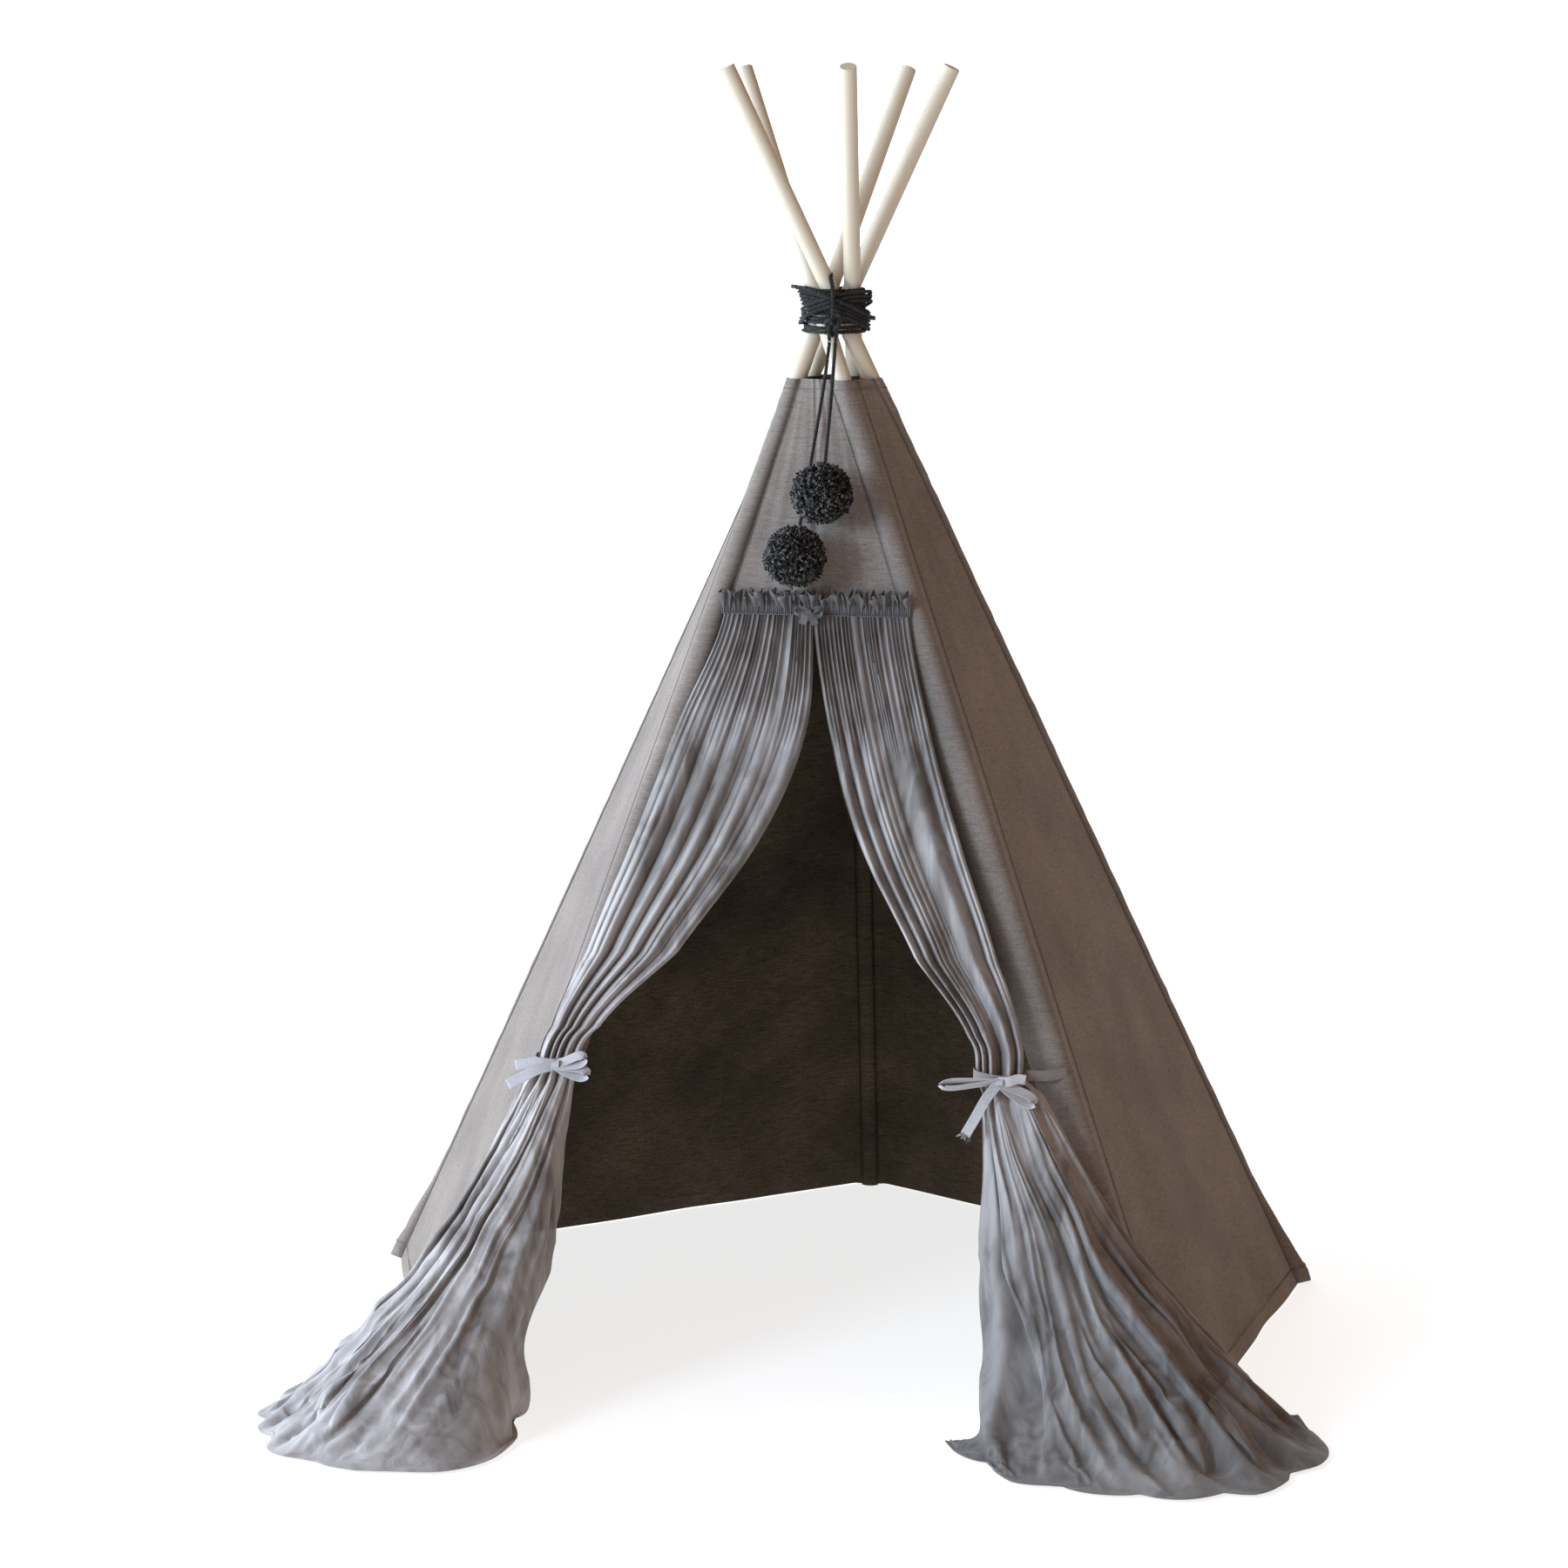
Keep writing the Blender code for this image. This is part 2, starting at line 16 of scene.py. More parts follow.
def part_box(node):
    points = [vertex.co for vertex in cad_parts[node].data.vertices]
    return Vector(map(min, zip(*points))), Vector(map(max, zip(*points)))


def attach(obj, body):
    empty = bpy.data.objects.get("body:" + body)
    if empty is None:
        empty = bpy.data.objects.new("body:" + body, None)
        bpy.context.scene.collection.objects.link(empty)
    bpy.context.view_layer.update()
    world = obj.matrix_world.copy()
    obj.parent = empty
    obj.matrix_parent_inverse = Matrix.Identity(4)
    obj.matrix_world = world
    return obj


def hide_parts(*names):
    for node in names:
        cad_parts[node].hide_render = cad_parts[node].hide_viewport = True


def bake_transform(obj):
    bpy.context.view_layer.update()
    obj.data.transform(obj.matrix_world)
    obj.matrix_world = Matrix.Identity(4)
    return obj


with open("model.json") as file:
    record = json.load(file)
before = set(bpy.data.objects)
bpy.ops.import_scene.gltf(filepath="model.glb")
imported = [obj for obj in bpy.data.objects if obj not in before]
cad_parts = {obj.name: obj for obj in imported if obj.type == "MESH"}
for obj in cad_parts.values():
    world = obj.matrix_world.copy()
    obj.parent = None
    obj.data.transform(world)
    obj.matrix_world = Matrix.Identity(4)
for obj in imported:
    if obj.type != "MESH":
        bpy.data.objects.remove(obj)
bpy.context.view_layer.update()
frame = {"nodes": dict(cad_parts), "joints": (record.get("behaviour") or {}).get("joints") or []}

POLES = ("front_left", "front_right", "right", "back", "left")
SIDES = {
    "panel_left": ("left", "front_left"),
    "panel_right": ("front_right", "right"),
    "panel_back_right": ("right", "back"),
    "panel_back_left": ("back", "left"),
}
UP = Vector((0, 0, 1))
COVER_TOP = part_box("panel_left")[1].z
COVER_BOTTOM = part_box("panel_left")[0].z
DOOR_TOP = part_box("yoke_left")[0].z
SLEEVE = 0.0136  # from a pole's centre line to the cloth that lies on its sleeve
ROPE = 0.003
SEAM = 0.0012
STITCHING = 0.0005
CLOTH = 0.001


# Places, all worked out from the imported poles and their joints


def read_poles():
    """Each pole's waist point, its direction upwards and its radius."""
    joints = {joint["child"]: joint for joint in frame["joints"]}
    poles = {}
    for name in POLES:
        waist = Vector(joints[f"{name}_leg"]["pos_m"])
        vertices = frame["nodes"][f"pole_{name}"].data.vertices
        middle = sum((v.co for v in vertices), Vector()) / len(vertices)
        upwards = (waist - middle).normalized()
        radius = min(((v.co - waist).cross(upwards).length for v in vertices if v.co.z > waist.z))
        poles[name] = (waist, upwards, max(radius, 0.011))
    return poles


LINES = read_poles()
WAIST = LINES["back"][0].z
POLE_RADIUS = LINES["back"][2]


def pole_point(name, height):
    """Where a pole's centre line passes this height."""
    waist, upwards, _ = LINES[name]
    return waist + upwards * ((height - waist.z) / upwards.z)


def cover_point(first, second, share, height, out=0.0):
    """A point of the cloth stretched over two poles: share runs from the first to the second."""
    a, b = pole_point(first, height), pole_point(second, height)
    lean = LINES[first][1].lerp(LINES[second][1], share)
    outwards = (b - a).cross(lean).normalized()
    level = Vector((outwards.x, outwards.y, 0))
    return a.lerp(b, share) + level * ((SLEEVE + out) / level.length_squared)


def front_share(x, height):
    """How far across the door side x lies, from 0 at the left-hand pole to 1 at the right-hand one."""
    left, right = pole_point("front_left", height), pole_point("front_right", height)
    return (x - left.x) / (right.x - left.x)


def front_point(x, height, out=0.0):
    """A point in front of the door side at this x and height, out from the cloth."""
    return cover_point("front_left", "front_right", front_share(x, height), height, out)


def smooth(low, high, value):
    t = min(max((value - low) / (high - low), 0.0), 1.0)
    return t * t * (3 - 2 * t)


def glide(before, start, end, after, t):
    """Between start and end at t, on a smooth curve that also heeds the stops on either side."""
    return (
        start
        + (end - before) * (t / 2)
        + (before * 2 - start * 5 + end * 4 - after) * (t * t / 2)
        + ((start - end) * 3 + after - before) * (t**3 / 2)
    )


def along_stops(stops, height):
    """Values between stops, each (height, value, ...), from the top down, on a smooth curve."""
    if height >= stops[0][0]:
        return stops[0][1:]
    for i, (upper, lower) in enumerate(zip(stops, stops[1:])):
        if height >= lower[0]:
            t = (upper[0] - height) / (upper[0] - lower[0])
            before = stops[max(i - 1, 0)]
            after = stops[min(i + 2, len(stops) - 1)]
            values = zip(before[1:], upper[1:], lower[1:], after[1:])
            return tuple(glide(*four, t) for four in values)
    return stops[-1][1:]


def curve_through(stops, count):
    """Evenly spaced points along a smooth curve through the stops."""
    fine = []
    padded = [2 * stops[0] - stops[1], *stops, 2 * stops[-1] - stops[-2]]
    for before, start, end, after in zip(padded, padded[1:], padded[2:], padded[3:]):
        for step in range(20):
            fine.append(glide(before, start, end, after, step / 20))
    fine.append(stops[-1].copy())
    reached = np.concatenate([[0], np.cumsum([(b - a).length for a, b in zip(fine, fine[1:])])])
    wanted = np.linspace(0, reached[-1], count)
    table = np.array(fine)
    return [Vector(np.interp(w, reached, table[:, k]) for k in range(3)) for w in wanted]


# Meshes


def mesh_object(name, vertices, faces, material):
    data = bpy.data.meshes.new(name)
    data.from_pydata([tuple(v) for v in vertices], [], faces)
    data.update()
    data.shade_smooth()
    data.materials.append(material)
    made = bpy.data.objects.new(name, data)
    bpy.context.scene.collection.objects.link(made)
    return made


def grid_faces(across, along, closed=False):
    """Faces of a grid of across by along vertices, row after row."""
    faces = []
    last = across if closed else across - 1
    for row in range(along - 1):
        for i in range(last):
            j = (i + 1) % across
            a = row * across
            faces.append((a + i, a + j, a + across + j, a + across + i))
    return faces


def grid_rim(across, along):
    """The vertices round the edge of a grid, in order."""
    top = list(range(across))
    right = [row * across + across - 1 for row in range(1, along)]
    bottom = [(along - 1) * across + i for i in range(across - 2, -1, -1)]
    left = [row * across for row in range(along - 2, 0, -1)]
    return top + right + bottom + left


def direction_at(points, i):
    """The direction of a path at one of its points."""
    return (points[min(i + 1, len(points) - 1)] - points[max(i - 1, 0)]).normalized()


def path_frames(points):
    """Each point with two directions square to the path, which turn as little as they can along it."""
    frames = []
    normal = direction_at(points, 0).orthogonal().normalized()
    for i, point in enumerate(points):
        tangent = direction_at(points, i)
        normal = (normal - tangent * normal.dot(tangent)).normalized()
        frames.append((point, normal, tangent.cross(normal)))
    return frames


def closed_faces(sides, count):
    """Faces of count rings of vertices, with both ends closed."""
    ends = [tuple(reversed(range(sides))), tuple((count - 1) * sides + k for k in range(sides))]
    return grid_faces(sides, count, closed=True) + ends


def tube(points, radius, sides=8, twist=0.0):
    """Vertices and faces of a round tube along the points, with closed ends.

    radius is a number or a function of the share of the way along."""
    vertices = []
    count = len(points)
    for i, (point, normal, side) in enumerate(path_frames(points)):
        size = radius(i / (count - 1)) if callable(radius) else radius
        for k in range(sides):
            angle = 2 * math.pi * k / sides + twist * i
            vertices.append(point + (normal * math.cos(angle) + side * math.sin(angle)) * size)
    return vertices, closed_faces(sides, count)


def joined(parts):
    """One list of vertices and one of faces from several."""
    vertices, faces = [], []
    for more_vertices, more_faces in parts:
        start = len(vertices)
        vertices += more_vertices
        faces += [tuple(start + i for i in face) for face in more_faces]
    return vertices, faces


def strands(points, radius, count=3, pitch=0.02, phase=0.0):
    """A laid rope: strands that wind round the line of the points."""
    thick = radius * 0.47
    off = radius - thick
    frames = path_frames(points)
    parts = []
    for k in range(count):
        line, reached, last = [], 0.0, points[0]
        for point, normal, side in frames:
            reached += (point - last).length
            last = point
            angle = phase + 2 * math.pi * (k / count + reached / pitch)
            line.append(point + (normal * math.cos(angle) + side * math.sin(angle)) * off)
        parts.append(tube(line, thick, 6))
    return joined(parts)


def flat_square(name, half, height, material):
    """A level square with the origin at its middle, which is half away from each side."""
    corners = [(x, y, height) for x, y in ((-half, -half), (half, -half), (half, half), (-half, half))]
    return mesh_object(name, corners, [(0, 1, 2, 3)], material)


# Materials


def fill_ramp(node, stops):
    """Sets a colour ramp's stops, each (position, colour)."""
    elements = node.color_ramp.elements
    while len(elements) < len(stops):
        elements.new(0.5)
    for element, (position, colour) in zip(elements, stops):
        element.position = position
        element.color = (*colour, 1)


class Nodes:
    """Builds a material's nodes: each method adds one and returns the output that is used."""

    def __init__(self, name, roughness):
        self.material = bpy.data.materials.new(name)
        self.material.use_nodes = True
        self.tree = self.material.node_tree
        self.shader = self.tree.nodes["Principled BSDF"]
        self.shader.inputs["Roughness"].default_value = roughness
        self.place = self.tree.nodes.new("ShaderNodeTexCoord").outputs["Object"]

    def link(self, value, socket):
        if isinstance(value, bpy.types.NodeSocket):
            self.tree.links.new(value, socket)
        else:
            socket.default_value = value

    def add(self, kind, output, inputs, **settings):
        """Adds a node, links or sets its inputs, and returns one of its outputs."""
        node = self.tree.nodes.new(f"ShaderNode{kind}")
        for name, value in settings.items():
            setattr(node, name, value)
        for name, value in inputs.items():
            self.link(value, node.inputs[name])
        return node.outputs[output]

    def mapped(self, scale, rotation=(0, 0, 0), source=None, location=(0, 0, 0)):
        places = {"Location": location, "Rotation": rotation, "Scale": scale}
        return self.add("Mapping", "Vector", {"Vector": source or self.place, **places})

    def noise(self, scale, detail=3.0, source=None, distortion=0.0):
        sizes = {"Scale": scale, "Detail": detail, "Distortion": distortion}
        return self.add("TexNoise", "Fac", {"Vector": source or self.place, **sizes})

    def wave(self, scale, direction, source=None, distortion=0.0, kind="BANDS"):
        turned = {f"{kind.lower()}_direction": direction}
        sizes = {"Scale": scale, "Distortion": distortion}
        return self.add("TexWave", "Fac", {"Vector": source or self.place, **sizes}, wave_type=kind, **turned)

    def ramp(self, value, stops):
        node = self.tree.nodes.new("ShaderNodeValToRGB")
        fill_ramp(node, stops)
        self.link(value, node.inputs["Fac"])
        return node.outputs["Color"]

    def mix(self, factor, a, b, kind="MIX"):
        a, b = ((*value, 1) if isinstance(value, tuple) else value for value in (a, b))
        inputs = {"Factor": factor, "A": a, "B": b}
        return self.add("Mix", "Result", inputs, data_type="RGBA", blend_type=kind)

    def maths(self, kind, a, b):
        return self.add("Math", "Value", {0: a, 1: b}, operation=kind)

    def bump(self, height, distance, strength=1.0, under=None):
        inputs = {"Distance": distance, "Strength": strength, "Height": height}
        if under is not None:
            inputs["Normal"] = under
        return self.add("Bump", "Normal", inputs)

    def finish(self, colour, normal=None, **constants):
        self.link(colour, self.shader.inputs["Base Color"])
        if normal is not None:
            self.link(normal, self.shader.inputs["Normal"])
        for name, value in constants.items():
            self.shader.inputs[name.replace("_", " ")].default_value = value
        return self.material


def shade(colour, factor):
    return tuple(min(c * factor, 1.0) for c in colour)


def cloth_material(name, colour, slub=0.24, mottle=0.14, weave=0.0011, sheen=0.10):
    """A plain weave: slubby threads both ways, a soft unevenness of dye, and a fine woven bump."""
    made = Nodes(name, 0.88)
    weft = made.noise(55, 4.0, made.mapped((1.0, 1.0, 22.0)))
    warp = made.noise(55, 4.0, made.mapped((16.0, 16.0, 0.9)))
    threads = made.maths("ADD", made.maths("MULTIPLY", weft, 0.5), made.maths("MULTIPLY", warp, 0.5))
    dye = made.noise(7.0, 4.0)
    woven = made.ramp(threads, [(0.36, shade(colour, 1 - slub)), (0.62, shade(colour, 1 + slub))])
    patchy = made.ramp(dye, [(0.3, (1 - mottle,) * 3), (0.7, (1 + mottle,) * 3)])
    shown = made.mix(1.0, woven, patchy, "MULTIPLY")
    across = made.wave(1 / weave / 2, "X", distortion=1.2)
    upright = made.wave(1 / weave / 2, "Z", distortion=1.2)
    fine = made.bump(made.maths("MULTIPLY", across, upright), 0.0002, 0.5)
    coarse = made.bump(threads, 0.0006, 0.55, fine)
    return made.finish(shown, coarse, Specular_IOR_Level=0.12, Sheen_Weight=sheen, Sheen_Roughness=0.5)


def voile_material(name, dark, light, levels):
    """Thin crinkled gauze, streaked at random between a dark and a pale tone: the pale is partly the cloth
    lying double and partly painted highlight, the dark is painted shade of folds and of the dark inside seen
    through it.

    levels says how bright it is at each height: painted light and shade, not a change in the cloth."""
    made = Nodes(name, 0.82)
    veils = made.noise(5.5, 3.0, made.mapped((1.0, 1.0, 0.45)), 1.6)
    creases = made.noise(34, 4.0, made.mapped((1.0, 1.0, 0.16)), 1.2)
    weave = made.noise(900, 2.0)
    layered = made.maths("ADD", made.maths("MULTIPLY", veils, 0.62), made.maths("MULTIPLY", creases, 0.38))
    colour = made.ramp(layered, [(0.37, dark), (0.62, light)])
    woven = made.ramp(weave, [(0.3, (0.93, 0.93, 0.93)), (0.7, (1.05, 1.05, 1.05))])
    upwards = made.add("SeparateXYZ", "Z", {"Vector": made.place})
    # Painted light and shade: brighter or darker by height, as levels gives.
    depth = made.ramp(upwards, [(height, (level,) * 3) for height, level in levels])
    shown = made.mix(1.0, made.mix(1.0, colour, woven, "MULTIPLY"), depth, "MULTIPLY")
    crinkled = made.bump(creases, 0.0035, 0.5, made.bump(weave, 0.0002, 0.3))
    return made.finish(shown, crinkled, Sheen_Weight=0.22, Sheen_Roughness=0.4, Alpha=0.97)


def wood_material(name, upwards, offset):
    """Pale planed pine: long grain lines that run up the pole, with rings on its end."""
    made = Nodes(name, 0.55)
    lean = upwards.to_track_quat("Z", "Y").to_matrix().inverted().to_euler()
    place = made.mapped((1, 1, 0.03), source=made.mapped((1, 1, 1), lean), location=offset)
    rings = made.wave(95, "Z", place, 3.5, "RINGS")
    fibres = made.noise(420, 5.0, place)
    broad = made.noise(28, 3.0, place)
    pale, warm = (0.505, 0.445, 0.355), (0.43, 0.345, 0.24)
    grain = made.ramp(rings, [(0.15, pale), (0.85, shade(warm, 1.08))])
    base = made.mix(0.30, pale, grain)
    streaked = made.mix(made.maths("MULTIPLY", fibres, 0.25), base, warm)
    toned = made.ramp(broad, [(0.3, (0.93, 0.91, 0.88)), (0.7, (1.0, 1.0, 1.0))])
    shown = made.mix(1.0, streaked, toned, "MULTIPLY")
    return made.finish(shown, made.bump(fibres, 0.0002, 0.35), Specular_IOR_Level=0.35)


def yarn_material(name, dark, light, scale):
    made = Nodes(name, 0.9)
    made.shader.inputs["Specular IOR Level"].default_value = 0.1
    flecks = made.noise(scale, 2.0)
    fuzz = made.noise(scale * 5, 3.0)
    colour = made.ramp(flecks, [(0.48, dark), (0.64, light)])
    shown = made.mix(made.maths("MULTIPLY", fuzz, 0.5), colour, dark)
    return made.finish(shown, made.bump(fuzz, 0.0004, 0.6), Sheen_Weight=0.06)


CANVAS_COLOUR = (0.158, 0.132, 0.115)
VOILE_COLOUR = (0.222, 0.205, 0.200)
# Dark is painted shade of folds and of the shaded inside seen through; light is partly cloth lying double,
# partly painted highlight.
GAUZE = (0.078, 0.061, 0.052), (0.345, 0.322, 0.315)
CANVAS = cloth_material("canvas", CANVAS_COLOUR, 0.30, 0.17)
# No lining shows in the photo: this dark inner face stands in for the shadow inside the cover.
INNER_SHADE = cloth_material("inner_shade", (0.043, 0.031, 0.020), 0.75, 0.45, sheen=0)
STITCH = cloth_material("stitching", shade(CANVAS_COLOUR, 0.72), 0.3)
# Painted light and shade for the curtains' upper parts: how bright each height is.
UPPER_LEVELS = [(0.44, 1.10), (0.62, 0.94), (0.78, 0.70), (0.95, 0.55)]
# Taken as one cloth: the two materials, and their levels, stand in for the photo's uneven light.
VOILES = {
    "left": voile_material("voile_left", *GAUZE, [(0.0, 0.88), (0.22, 1.0), *UPPER_LEVELS]),
    "right": voile_material("voile_right", *GAUZE, [(0.0, 0.46), (0.22, 0.54), *UPPER_LEVELS]),
}
# The curtains' cloth made darker: painted shade for the gathered heading, its frill and the small bow on it.
SHADED_RUFFLE = cloth_material("shaded_ruffle", shade(VOILE_COLOUR, 0.38), 0.16, 0.08, 0.0008)
RIBBON = cloth_material("ribbon", (0.38, 0.365, 0.375), 0.12, 0.05, 0.0007)
# The ribbon's cloth made darker: painted shade for the tie's band and arm, which lie in shadow.
SHADED_RIBBON = cloth_material("strap", (0.20, 0.180, 0.172), 0.12, 0.05, 0.0007)
DARK_ROPE = yarn_material("dark_rope", (0.010, 0.010, 0.010), (0.060, 0.058, 0.055), 700)
YARN = yarn_material("yarn", (0.003, 0.003, 0.003), (0.150, 0.142, 0.130), 190)


# Camera, floor and light


def make_camera():
    """The photograph's view: a long lens at head height, a little to the right of the door."""
    turn, pitch = math.radians(3.627), math.radians(9.568)
    forward = Vector((-math.sin(turn) * math.cos(pitch), math.cos(turn) * math.cos(pitch), -math.sin(pitch)))
    data = bpy.data.cameras.new("camera")
    data.sensor_width = 36
    data.lens = 92.4
    camera = bpy.data.objects.new("camera", data)
    camera.location = (0.264, -5.194, 1.593)
    camera.rotation_euler = forward.to_track_quat("-Z", "Y").to_euler()
    bpy.context.scene.collection.objects.link(camera)
    bpy.context.scene.camera = camera


def make_floor():
    made = Nodes("floor", 0.8)
    made.finish((0.34, 0.34, 0.34, 1), Emission_Color=(1, 1, 1, 1), Emission_Strength=0.80)
    flat_square("floor", 30, -0.0005, made.material)


def make_light():
    """A bright overcast room: cool and strong from the left, dimmer and warmer from the right."""
    world = bpy.data.worlds.new("studio")
    bpy.context.scene.world = world
    world.use_nodes = True
    tree = world.node_tree
    background = tree.nodes["Background"]
    place = tree.nodes.new("ShaderNodeTexCoord").outputs["Generated"]
    facing = tree.nodes.new("ShaderNodeVectorMath")
    facing.operation = "DOT_PRODUCT"
    facing.inputs[1].default_value = (1, -0.35, 0.8)
    tree.links.new(place, facing.inputs[0])
    ramp = tree.nodes.new("ShaderNodeValToRGB")
    stops = [
        (0.0, (0.72, 0.84, 1.0)),
        (0.43, (0.72, 0.84, 1.0)),
        (0.53, (0.42, 0.50, 0.64)),
        (0.66, (0.27, 0.17, 0.10)),
        (1.0, (0.14, 0.07, 0.025)),
    ]
    fill_ramp(ramp, stops)
    across = tree.nodes.new("ShaderNodeMapRange")
    across.inputs["From Min"].default_value = -1.1
    across.inputs["From Max"].default_value = 1.1
    tree.links.new(facing.outputs["Value"], across.inputs["Value"])
    tree.links.new(across.outputs["Result"], ramp.inputs["Fac"])
    tree.links.new(ramp.outputs["Color"], background.inputs["Color"])
    background.inputs["Strength"].default_value = 2.3

    make_lamp("window", (-4.2, -0.2, 1.3), (0, 0, 0.5), (3.2, 2.6), 235, (0.80, 0.90, 1.0))
    make_lamp("sky", (-2.9, -3.2, 2.0), (0, -0.2, 0.8), (1.2, 1.2), 170, (0.60, 0.79, 1.0))
    bpy.context.scene.view_settings.view_transform = "Standard"


def make_lamp(name, place, target, size, power, colour):
    """A soft rectangular lamp aimed at a point."""
    lamp = bpy.data.lights.new(name, "AREA")
    lamp.shape = "RECTANGLE"
    lamp.size, lamp.size_y = size
    lamp.energy = power
    lamp.color = colour
    made = bpy.data.objects.new(name, lamp)
    made.location = place
    made.rotation_euler = (Vector(target) - Vector(place)).to_track_quat("-Z", "Y").to_euler()
    bpy.context.scene.collection.objects.link(made)


# Rope: the pompoms' cords and the lashing

YOKE_FACE = 0.0004
KNOT = (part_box("lashing_knot")[0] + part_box("lashing_knot")[1]) / 2
CORD = 0.0025


def hanging_stop(along, sideways, out):
    """A point below the knot: along the cover's slope, to the side, and out from the yoke's face."""
    slope = abs(LINES["front_left"][1].x) / LINES["front_left"][1].z
    lift = Vector((0, -1, slope)).normalized()
    start = front_point(-0.01, KNOT.z, YOKE_FACE) + lift * out
    down = Vector((0, -slope, -1)).normalized()
    return start + down * along + Vector((sideways - start.x, 0, 0))


def make_pompom(which, stops):
    """A twisted cord from the knot to its pompom of cut yarn."""
    node = f"pompom_{which}"
    low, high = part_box(node)
    centre = (low + high) / 2
    radius = (high - low).x / 2
    body = f"{which}_pompom"
    end = centre + (stops[-1] - centre).normalized() * (radius + 0.0008)
    points = curve_through([*stops[:-1], end], 160)
    cord = mesh_object(f"cord_{which}", *strands(points, CORD, pitch=0.012), DARK_ROPE)
    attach(cord, body)
    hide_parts(f"pompom_cord_{which}")

    pompom = mesh_object(f"yarn_ball_{which}", *yarn_ball(centre, radius * 1.09, which), YARN)
    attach(pompom, body)
    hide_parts(node)


def yarn_ball(centre, radius, seed):
    """Thousands of cut yarn ends that stand out from the middle, a little uneven in length."""
    rng = random.Random(seed)
    core = radius * 0.62
    count = 2600
    parts = []
    turn = math.pi * (3 - math.sqrt(5))
    for i in range(count):
        z = 1 - 2 * (i + 0.5) / count
        ring = math.sqrt(1 - z * z)
        out = Vector((ring * math.cos(turn * i), ring * math.sin(turn * i), z))
        out = (out + Vector(rng.gauss(0, 0.05) for _ in range(3))).normalized()
        lump = 1 + 0.045 * noise.noise(out * 2.6 + Vector((len(seed), 0, 0)))
        reach = radius * lump * (1 + rng.gauss(0, 0.045))
        bend = Vector(rng.gauss(0, 0.12) for _ in range(3))
        tip = centre + (out + bend).normalized() * reach
        line = [centre + out * core, centre + (out + bend * 0.3).normalized() * reach * 0.86, tip]
        vertices, faces = tube(line, lambda t: 0.0008 + 0.0006 * t, 4, 0.5)
        parts.append((vertices, faces))
    return joined(parts)


def bundle_reach(angle, height, extra):
    """The distance from the middle to a band drawn tight round the five poles at this height."""
    best = 1.0
    for step in range(-14, 15):
        turned = angle + math.radians(6 * step)
        outwards = Vector((math.cos(turned), math.sin(turned), 0))
        support = max(pole_point(name, height).dot(outwards) for name in POLES) + POLE_RADIUS * 1.05
        best = min(best, (support + extra) / math.cos(turned - angle))
    return best


def lashing_turn(start, end, middle, slant, lean, layer):
    """Points of rope wound round the bundle from one angle to another.

    middle is the height, slant how far it rises and falls, lean the angle where it is highest,
    and layer how many ropes lie under it."""
    points = []
    steps = max(int(abs(end - start) / 7), 4)
    for i in range(steps + 1):
        t = i / steps
        angle = math.radians(start + (end - start) * t)
        height = middle + slant * math.cos(angle - math.radians(lean))
        extra = ROPE * (1.05 + 1.75 * layer)
        reach = bundle_reach(angle, height, extra)
        points.append(Vector((reach * math.cos(angle), reach * math.sin(angle), height)))
    return points


def make_lashing():
    """Flat turns below, slanting turns that cross over them, and a stretch of rope over the front."""
    runs = []
    spacing = 2 * ROPE * 0.97
    for i in range(10):
        height = WAIST - 0.0262 + spacing * i
        runs.append(lashing_turn(-90, 270, height, 0.0012 * math.sin(i * 2.1), 40 * i, 0))
    for i in range(5):
        runs.append(lashing_turn(-90, 270, WAIST - 0.008 + i * 0.0052, 0.017, 205, 1))
    for i in range(3):
        runs.append(lashing_turn(-90, 270, WAIST - 0.002 + i * 0.0056, 0.016, 322, 1.6))
    runs.append(lashing_turn(-90, 270, WAIST + 0.010, 0.021, 200, 2.3))
    parts = [strands(run, ROPE, pitch=0.016, phase=i) for i, run in enumerate(runs)]
    over = [
        Vector((-0.004, -0.018, WAIST + 0.047)),
        Vector((-0.003, -0.040, WAIST + 0.043)),
        Vector((0.000, -0.0515, WAIST + 0.028)),
        Vector((0.001, -0.0545, WAIST + 0.005)),
        Vector((0.000, -0.0560, WAIST - 0.012)),
        Vector((-0.002, -0.0540, WAIST - 0.026)),
    ]
    parts.append(strands(curve_through(over, 60), ROPE, pitch=0.016))
    lashing = mesh_object("lashing", *joined(parts), DARK_ROPE)
    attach(lashing, "cover")
    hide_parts("lashing_rope")


def make_knot():
    """An overhand knot pulled tight, with both cords leaving below it."""
    rope = ROPE * 0.95
    size = 0.0085
    parts = []
    loop = []
    for i in range(120):
        t = 2 * math.pi * i / 119
        x = math.sin(t) + 2 * math.sin(2 * t)
        z = math.cos(t) - 2 * math.cos(2 * t)
        y = -math.sin(3 * t)
        loop.append(KNOT + Vector((x * size * 0.36, y * size * 0.62, z * size * 0.46)))
    parts.append(strands(loop, rope, pitch=0.014))
    for side in (-1, 1):
        tail = [
            KNOT + Vector((0.003 * side, -0.001, 0.002)),
            KNOT + Vector((0.0045 * side, -0.003 * side, -0.010)),
            KNOT + Vector((0.004 * side, -0.003 * side, -0.0185)),
        ]
        parts.append(strands(curve_through(tail, 14), CORD, pitch=0.012))
    knot = mesh_object("knot", *joined(parts), DARK_ROPE)
    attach(knot, "cover")
    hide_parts("lashing_knot")


